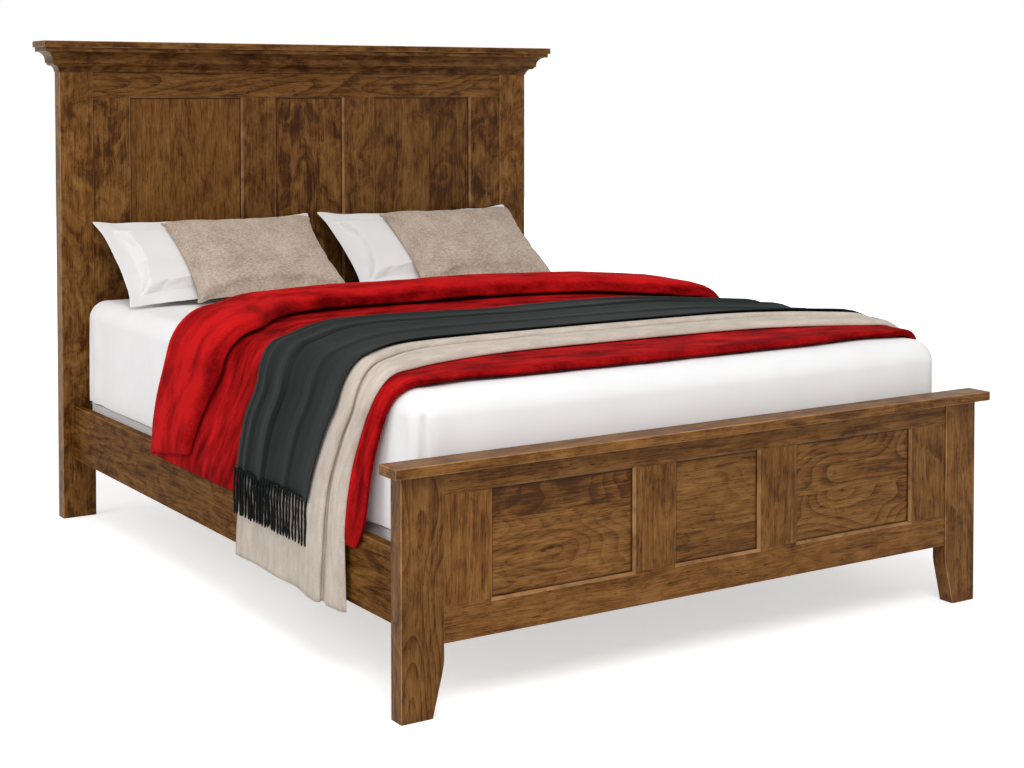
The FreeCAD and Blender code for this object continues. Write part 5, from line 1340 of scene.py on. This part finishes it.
class PANELBED_OT_make_charcoal_throw(bpy.types.Operator):
    """Make the charcoal throw, its lengthwise folds and its twisted fringe"""
    bl_idname = "panelbed.make_charcoal_throw"
    bl_label = "Make Charcoal Throw"

    STRANDS, STRAND_SIDES, STRAND_STEPS = 25, 8, 22
    # length of strand in which its plies make half a turn
    HALF_TWIST = 0.018
    # how far the front and the back row stand off the beige throw
    FRONT_ROW, BACK_ROW = 0.0085, 0.0035

    def execute(self, context):
        cloth = context.scene.panel_bed_cloth
        hem = hem_of("charcoal_throw")
        # each fold: share from the foot edge to the head edge, height, the shares over which it
        # rises and falls, and where its line is drawn; the second is a lap with a sharp lip
        folds = ((0.33, 0.50, 0.03, 0.10, 0), (0.575, 0.50, 0.10, 0.010, 2),
                 (0.600, 1.0, 0.008, 0.17, 2), (0.84, 0.60, 0.035, 0.06, 3),
                 (0.94, 0.50, 0.02, 0.05, 4))

        def spot(place, way):
            full = DRAPE.thinned(way)
            y = blend(along(WRAP_FOOT, abs(way)), along(WRAP_HEAD, abs(way)), place)
            fold = 0.0
            for number, (middle, height, rise, fall, drawn) in enumerate(folds):
                middle += 0.022 * soft_noise(way * 1.4, drawn * 5.3, 7)
                height *= 0.8 + 0.5 * soft_noise(way * 1.9, number * 3.1, 2)
                if place < middle:
                    fold += height * eased(place, middle - rise, middle)
                else:
                    fold += height * (1 - eased(place, middle, middle + fall))
            over_bed = 1 - 0.30 * eased(0.55 - abs(way), 0, 0.3)
            fold *= cloth.fold_height * over_bed * blend(0.8, 1.0, full)
            fine = 0.0012 * (1 + soft_noise(way * 2.0, place * 22, 3))
            length = hem_length(way, y, hem, 0.003, 6, 2, 0.9, 6)
            return DRAPE.spot(length, y, wrap_base(y, way, cloth) + fold + fine)
        piece = cloth_sheet("charcoal_twill_throw", evenly(0, 1, 150), hem, WRAP_STEP, spot,
                            cloth.wrap_thickness, charcoal_twill())
        fringe = self.make_fringe(cloth, hem)
        stand_in(piece, "bedding", "charcoal_throw")
        stand_in(fringe, "bedding", "charcoal_fringe")
        return {"FINISHED"}

    def make_fringe(self, cloth, hem):
        """Strands of two plies, knotted through the hem, that hang over the beige throw."""
        bm = bmesh.new()
        drop = hem_of("charcoal_fringe") - hem
        foot, head = along(WRAP_FOOT, hem), along(WRAP_HEAD, hem)
        # a row of strands in front, and behind it a row in its gaps that leaves the foot end
        # bare: number, share from foot to head, and how far it stands off the beige throw
        count = self.STRANDS
        rows = [(number, (number + 0.5) / count, self.FRONT_ROW) for number in range(count)]
        rows += [(number + 40, (number + 1.0) / count, self.BACK_ROW)
                 for number in range(6, count - 1)]
        for side in (-1, 1):
            for number, share, off in rows:
                start = blend(foot, head, 0.012 + share * 0.955)
                swing = 0.010 * soft_noise(number * 1.7, side * 3.0, 0)
                length = drop * (0.94 + 0.06 * soft_noise(number * 2.3, side, 5))
                self.add_strand(bm, cloth, side, hem, start, swing, length, number, off)
        bmesh.ops.holes_fill(bm, edges=bm.edges, sides=0)
        bmesh.ops.recalc_face_normals(bm, faces=bm.faces)
        return new_piece("charcoal_yarn_fringe", mesh_of(bm, "charcoal_yarn_fringe"),
                         twisted_yarn())

    def add_strand(self, bm, cloth, side, hem, start, swing, length, number, off):
        """One strand: a two-lobed ring drawn down its line and turned as it goes."""
        radius, sides, steps = cloth.strand_thickness / 2, self.STRAND_SIDES, self.STRAND_STEPS
        ring = bmesh.ops.create_circle(bm, segments=sides, radius=1, cap_ends=True)
        turns = [2 * math.pi * n / sides for n in range(sides)]
        outline = [(math.sin(turn), math.cos(turn)) for turn in turns]
        verts = ring["verts"]
        face = verts[0].link_faces[0]
        for step in range(steps + 1):
            share = step / steps
            way = side * (hem - 0.006 + (length + 0.006) * share)
            y = start + swing * share + 0.003 * soft_noise(share * 3, number, side)
            lift = (blanket_top(way, cloth) + cloth.throw_thickness * DRAPE.thinned(way) + off
                    + radius + 0.0015 * (1 + soft_noise(number * 5.1, share * 2, side)))
            spot = DRAPE.spot(way, y, lift)
            twist = share * length / self.HALF_TWIST * math.pi
            cos, sin = math.cos(twist), math.sin(twist)
            # thick at the knot, thin at the tail
            size = radius * (1.35 if step in (1, 2) else 1.0) * (0.55 if step == steps else 1.0)
            if step:
                face = bmesh.ops.extrude_discrete_faces(bm, faces=[face])["faces"][0]
                verts = list(face.verts)
            for (a, b), vert in zip(outline, verts):
                lobe = size * (0.80 + 0.20 * abs(math.cos(math.atan2(a, b))))
                across, out = lobe * (a * cos - b * sin), lobe * (a * sin + b * cos)
                vert.co = spot + Vector((side * out, across, 0))


class PANELBED_OT_set_stage(bpy.types.Operator):
    """Set up the pale floor, the soft studio light and the camera"""
    bl_idname = "panelbed.set_stage"
    bl_label = "Set Stage"

    # the photograph's eye point, its direction in degrees, and the frame's shift
    EYE = (-2.54712, -4.19504, 1.28410)
    TILT, HEADING = 87.8589, -33.33634
    SHIFT = (-0.02903, -0.22)
    FLOOR_HALF = 14
    LAMP_SIZE, LAMP_AIM = 3.0, Vector((0, 0, 0.6))
    # each lamp's place, and its share of the key lamp's power
    LAMPS = (("key lamp", (-2.2, -4.6, 5.3), 1.0), ("side lamp", (-5.6, 0.6, 4.0), 0.36))

    def execute(self, context):
        scene, stage = context.scene, context.scene.panel_bed_stage
        bm = bmesh.new()
        bmesh.ops.create_grid(bm, x_segments=1, y_segments=1, size=self.FLOOR_HALF)
        floor = new_piece("studio_floor", mesh_of(bm, "studio_floor"), self.floor_board(stage))
        self.light_room(scene, stage)
        camera = bpy.data.cameras.new("photograph camera")
        camera.lens, camera.sensor_width = stage.lens_length, 36
        camera.shift_x, camera.shift_y = self.SHIFT
        holder = bpy.data.objects.new("photograph camera", camera)
        scene.collection.objects.link(holder)
        holder.location = self.EYE
        holder.rotation_euler = (math.radians(self.TILT), 0, math.radians(self.HEADING))
        scene.camera = holder
        scene.view_settings.view_transform = "Standard"
        return {"FINISHED"}

    def floor_board(self, stage):
        """Painted board: pale and matt, a little brighter where it is looked at directly."""
        material, add = new_material("painted_studio_floor")
        place = add("TexCoord", out="Object")
        grain = add("TexNoise", {"Vector": place, "Scale": 40.0, "Detail": 2.0})
        colour = add("ValToRGB", [grain], stops=shades(
            stage.floor_colour, (0.3, 0.995), (0.7, 1.0)))
        # the glow grows away from the bed, where the lamps' light falls off
        away = add("VectorMath", [place], "Value", operation="LENGTH")
        fade = add("MapRange", (away, 1.5, 5.5, 0.48, 1.0), interpolation_type="SMOOTHSTEP")
        glow = add("Math", (direct_rays(add), fade), operation="MULTIPLY")
        finish_material(add, colour, None, {
            "Roughness": 0.9, "Specular IOR Level": 0.0, "Emission Color": (1, 1, 1, 1),
            "Emission Strength": glow})
        return material

    def light_room(self, scene, stage):
        """Even white room, one large soft lamp in front and one at the side."""
        world = bpy.data.worlds.new("white room")
        world.use_nodes = True
        world.node_tree.nodes.clear()
        add = functools.partial(add_node, world.node_tree)
        strength = add("Mix", {0: direct_rays(add), 2: stage.sky_strength, 3: 1.0},
                       data_type="FLOAT")
        sky = add("Background", {"Color": (1, 1, 1, 1), "Strength": strength})
        add("OutputWorld", {"Surface": sky}, None)
        scene.world = world
        for name, place, share in self.LAMPS:
            lamp = bpy.data.lights.new(name, "AREA")
            lamp.shape, lamp.size = "SQUARE", self.LAMP_SIZE
            lamp.energy = stage.key_power * share
            holder = bpy.data.objects.new(name, lamp)
            holder.location = place
            aim = self.LAMP_AIM - Vector(place)
            holder.rotation_euler = aim.to_track_quat("-Z", "Y").to_euler()
            scene.collection.objects.link(holder)


def direct_rays(add):
    """1 for rays from the camera, and for those that metal or glass sends on, else 0."""
    path = add("LightPath", out=None)
    seen = path["Is Camera Ray"]
    for name in ("Is Glossy Ray", "Is Transmission Ray"):
        seen = add("Math", (seen, path[name]), operation="MAXIMUM")
    return seen


class PANELBED_PT_pieces(bpy.types.Panel):
    """Panel bed's settings and makers"""
    bl_idname = "PANELBED_PT_pieces"
    bl_label = "Panel Bed"
    bl_space_type = "VIEW_3D"
    bl_region_type = "UI"
    bl_category = "Panel Bed"

    def draw(self, context):
        for name in SETTINGS:
            group = getattr(context.scene, name)
            box = self.layout.box()
            for setting in group.__annotations__:
                box.prop(group, setting)
        for operator in OPERATORS:
            self.layout.operator(operator.bl_idname)


SETTINGS = {
    "panel_bed_wood": PanelBedWoodSettings,
    "panel_bed_cloth": PanelBedClothSettings,
    "panel_bed_stage": PanelBedStageSettings,
}
OPERATORS = (
    PANELBED_OT_finish_woodwork,
    PANELBED_OT_finish_hardware,
    PANELBED_OT_make_foundation,
    PANELBED_OT_make_mattress,
    PANELBED_OT_make_shams,
    PANELBED_OT_make_cushions,
    PANELBED_OT_make_blanket,
    PANELBED_OT_make_beige_throw,
    PANELBED_OT_make_charcoal_throw,
    PANELBED_OT_set_stage,
)


def register():
    """Register the settings, the operators and the panel."""
    for name, group in SETTINGS.items():
        bpy.utils.register_class(group)
        setattr(bpy.types.Scene, name, bpy.props.PointerProperty(type=group))
    for operator in OPERATORS:
        bpy.utils.register_class(operator)
    bpy.utils.register_class(PANELBED_PT_pieces)


def unregister():
    """Take back what register did."""
    bpy.utils.unregister_class(PANELBED_PT_pieces)
    for operator in reversed(OPERATORS):
        bpy.utils.unregister_class(operator)
    for name, group in SETTINGS.items():
        delattr(bpy.types.Scene, name)
        bpy.utils.unregister_class(group)


def main():
    """Make the whole bed."""
    register()
    for operator in OPERATORS:
        section, name = operator.bl_idname.split(".")
        getattr(getattr(bpy.ops, section), name)()


if __name__ == "__main__":
    main()
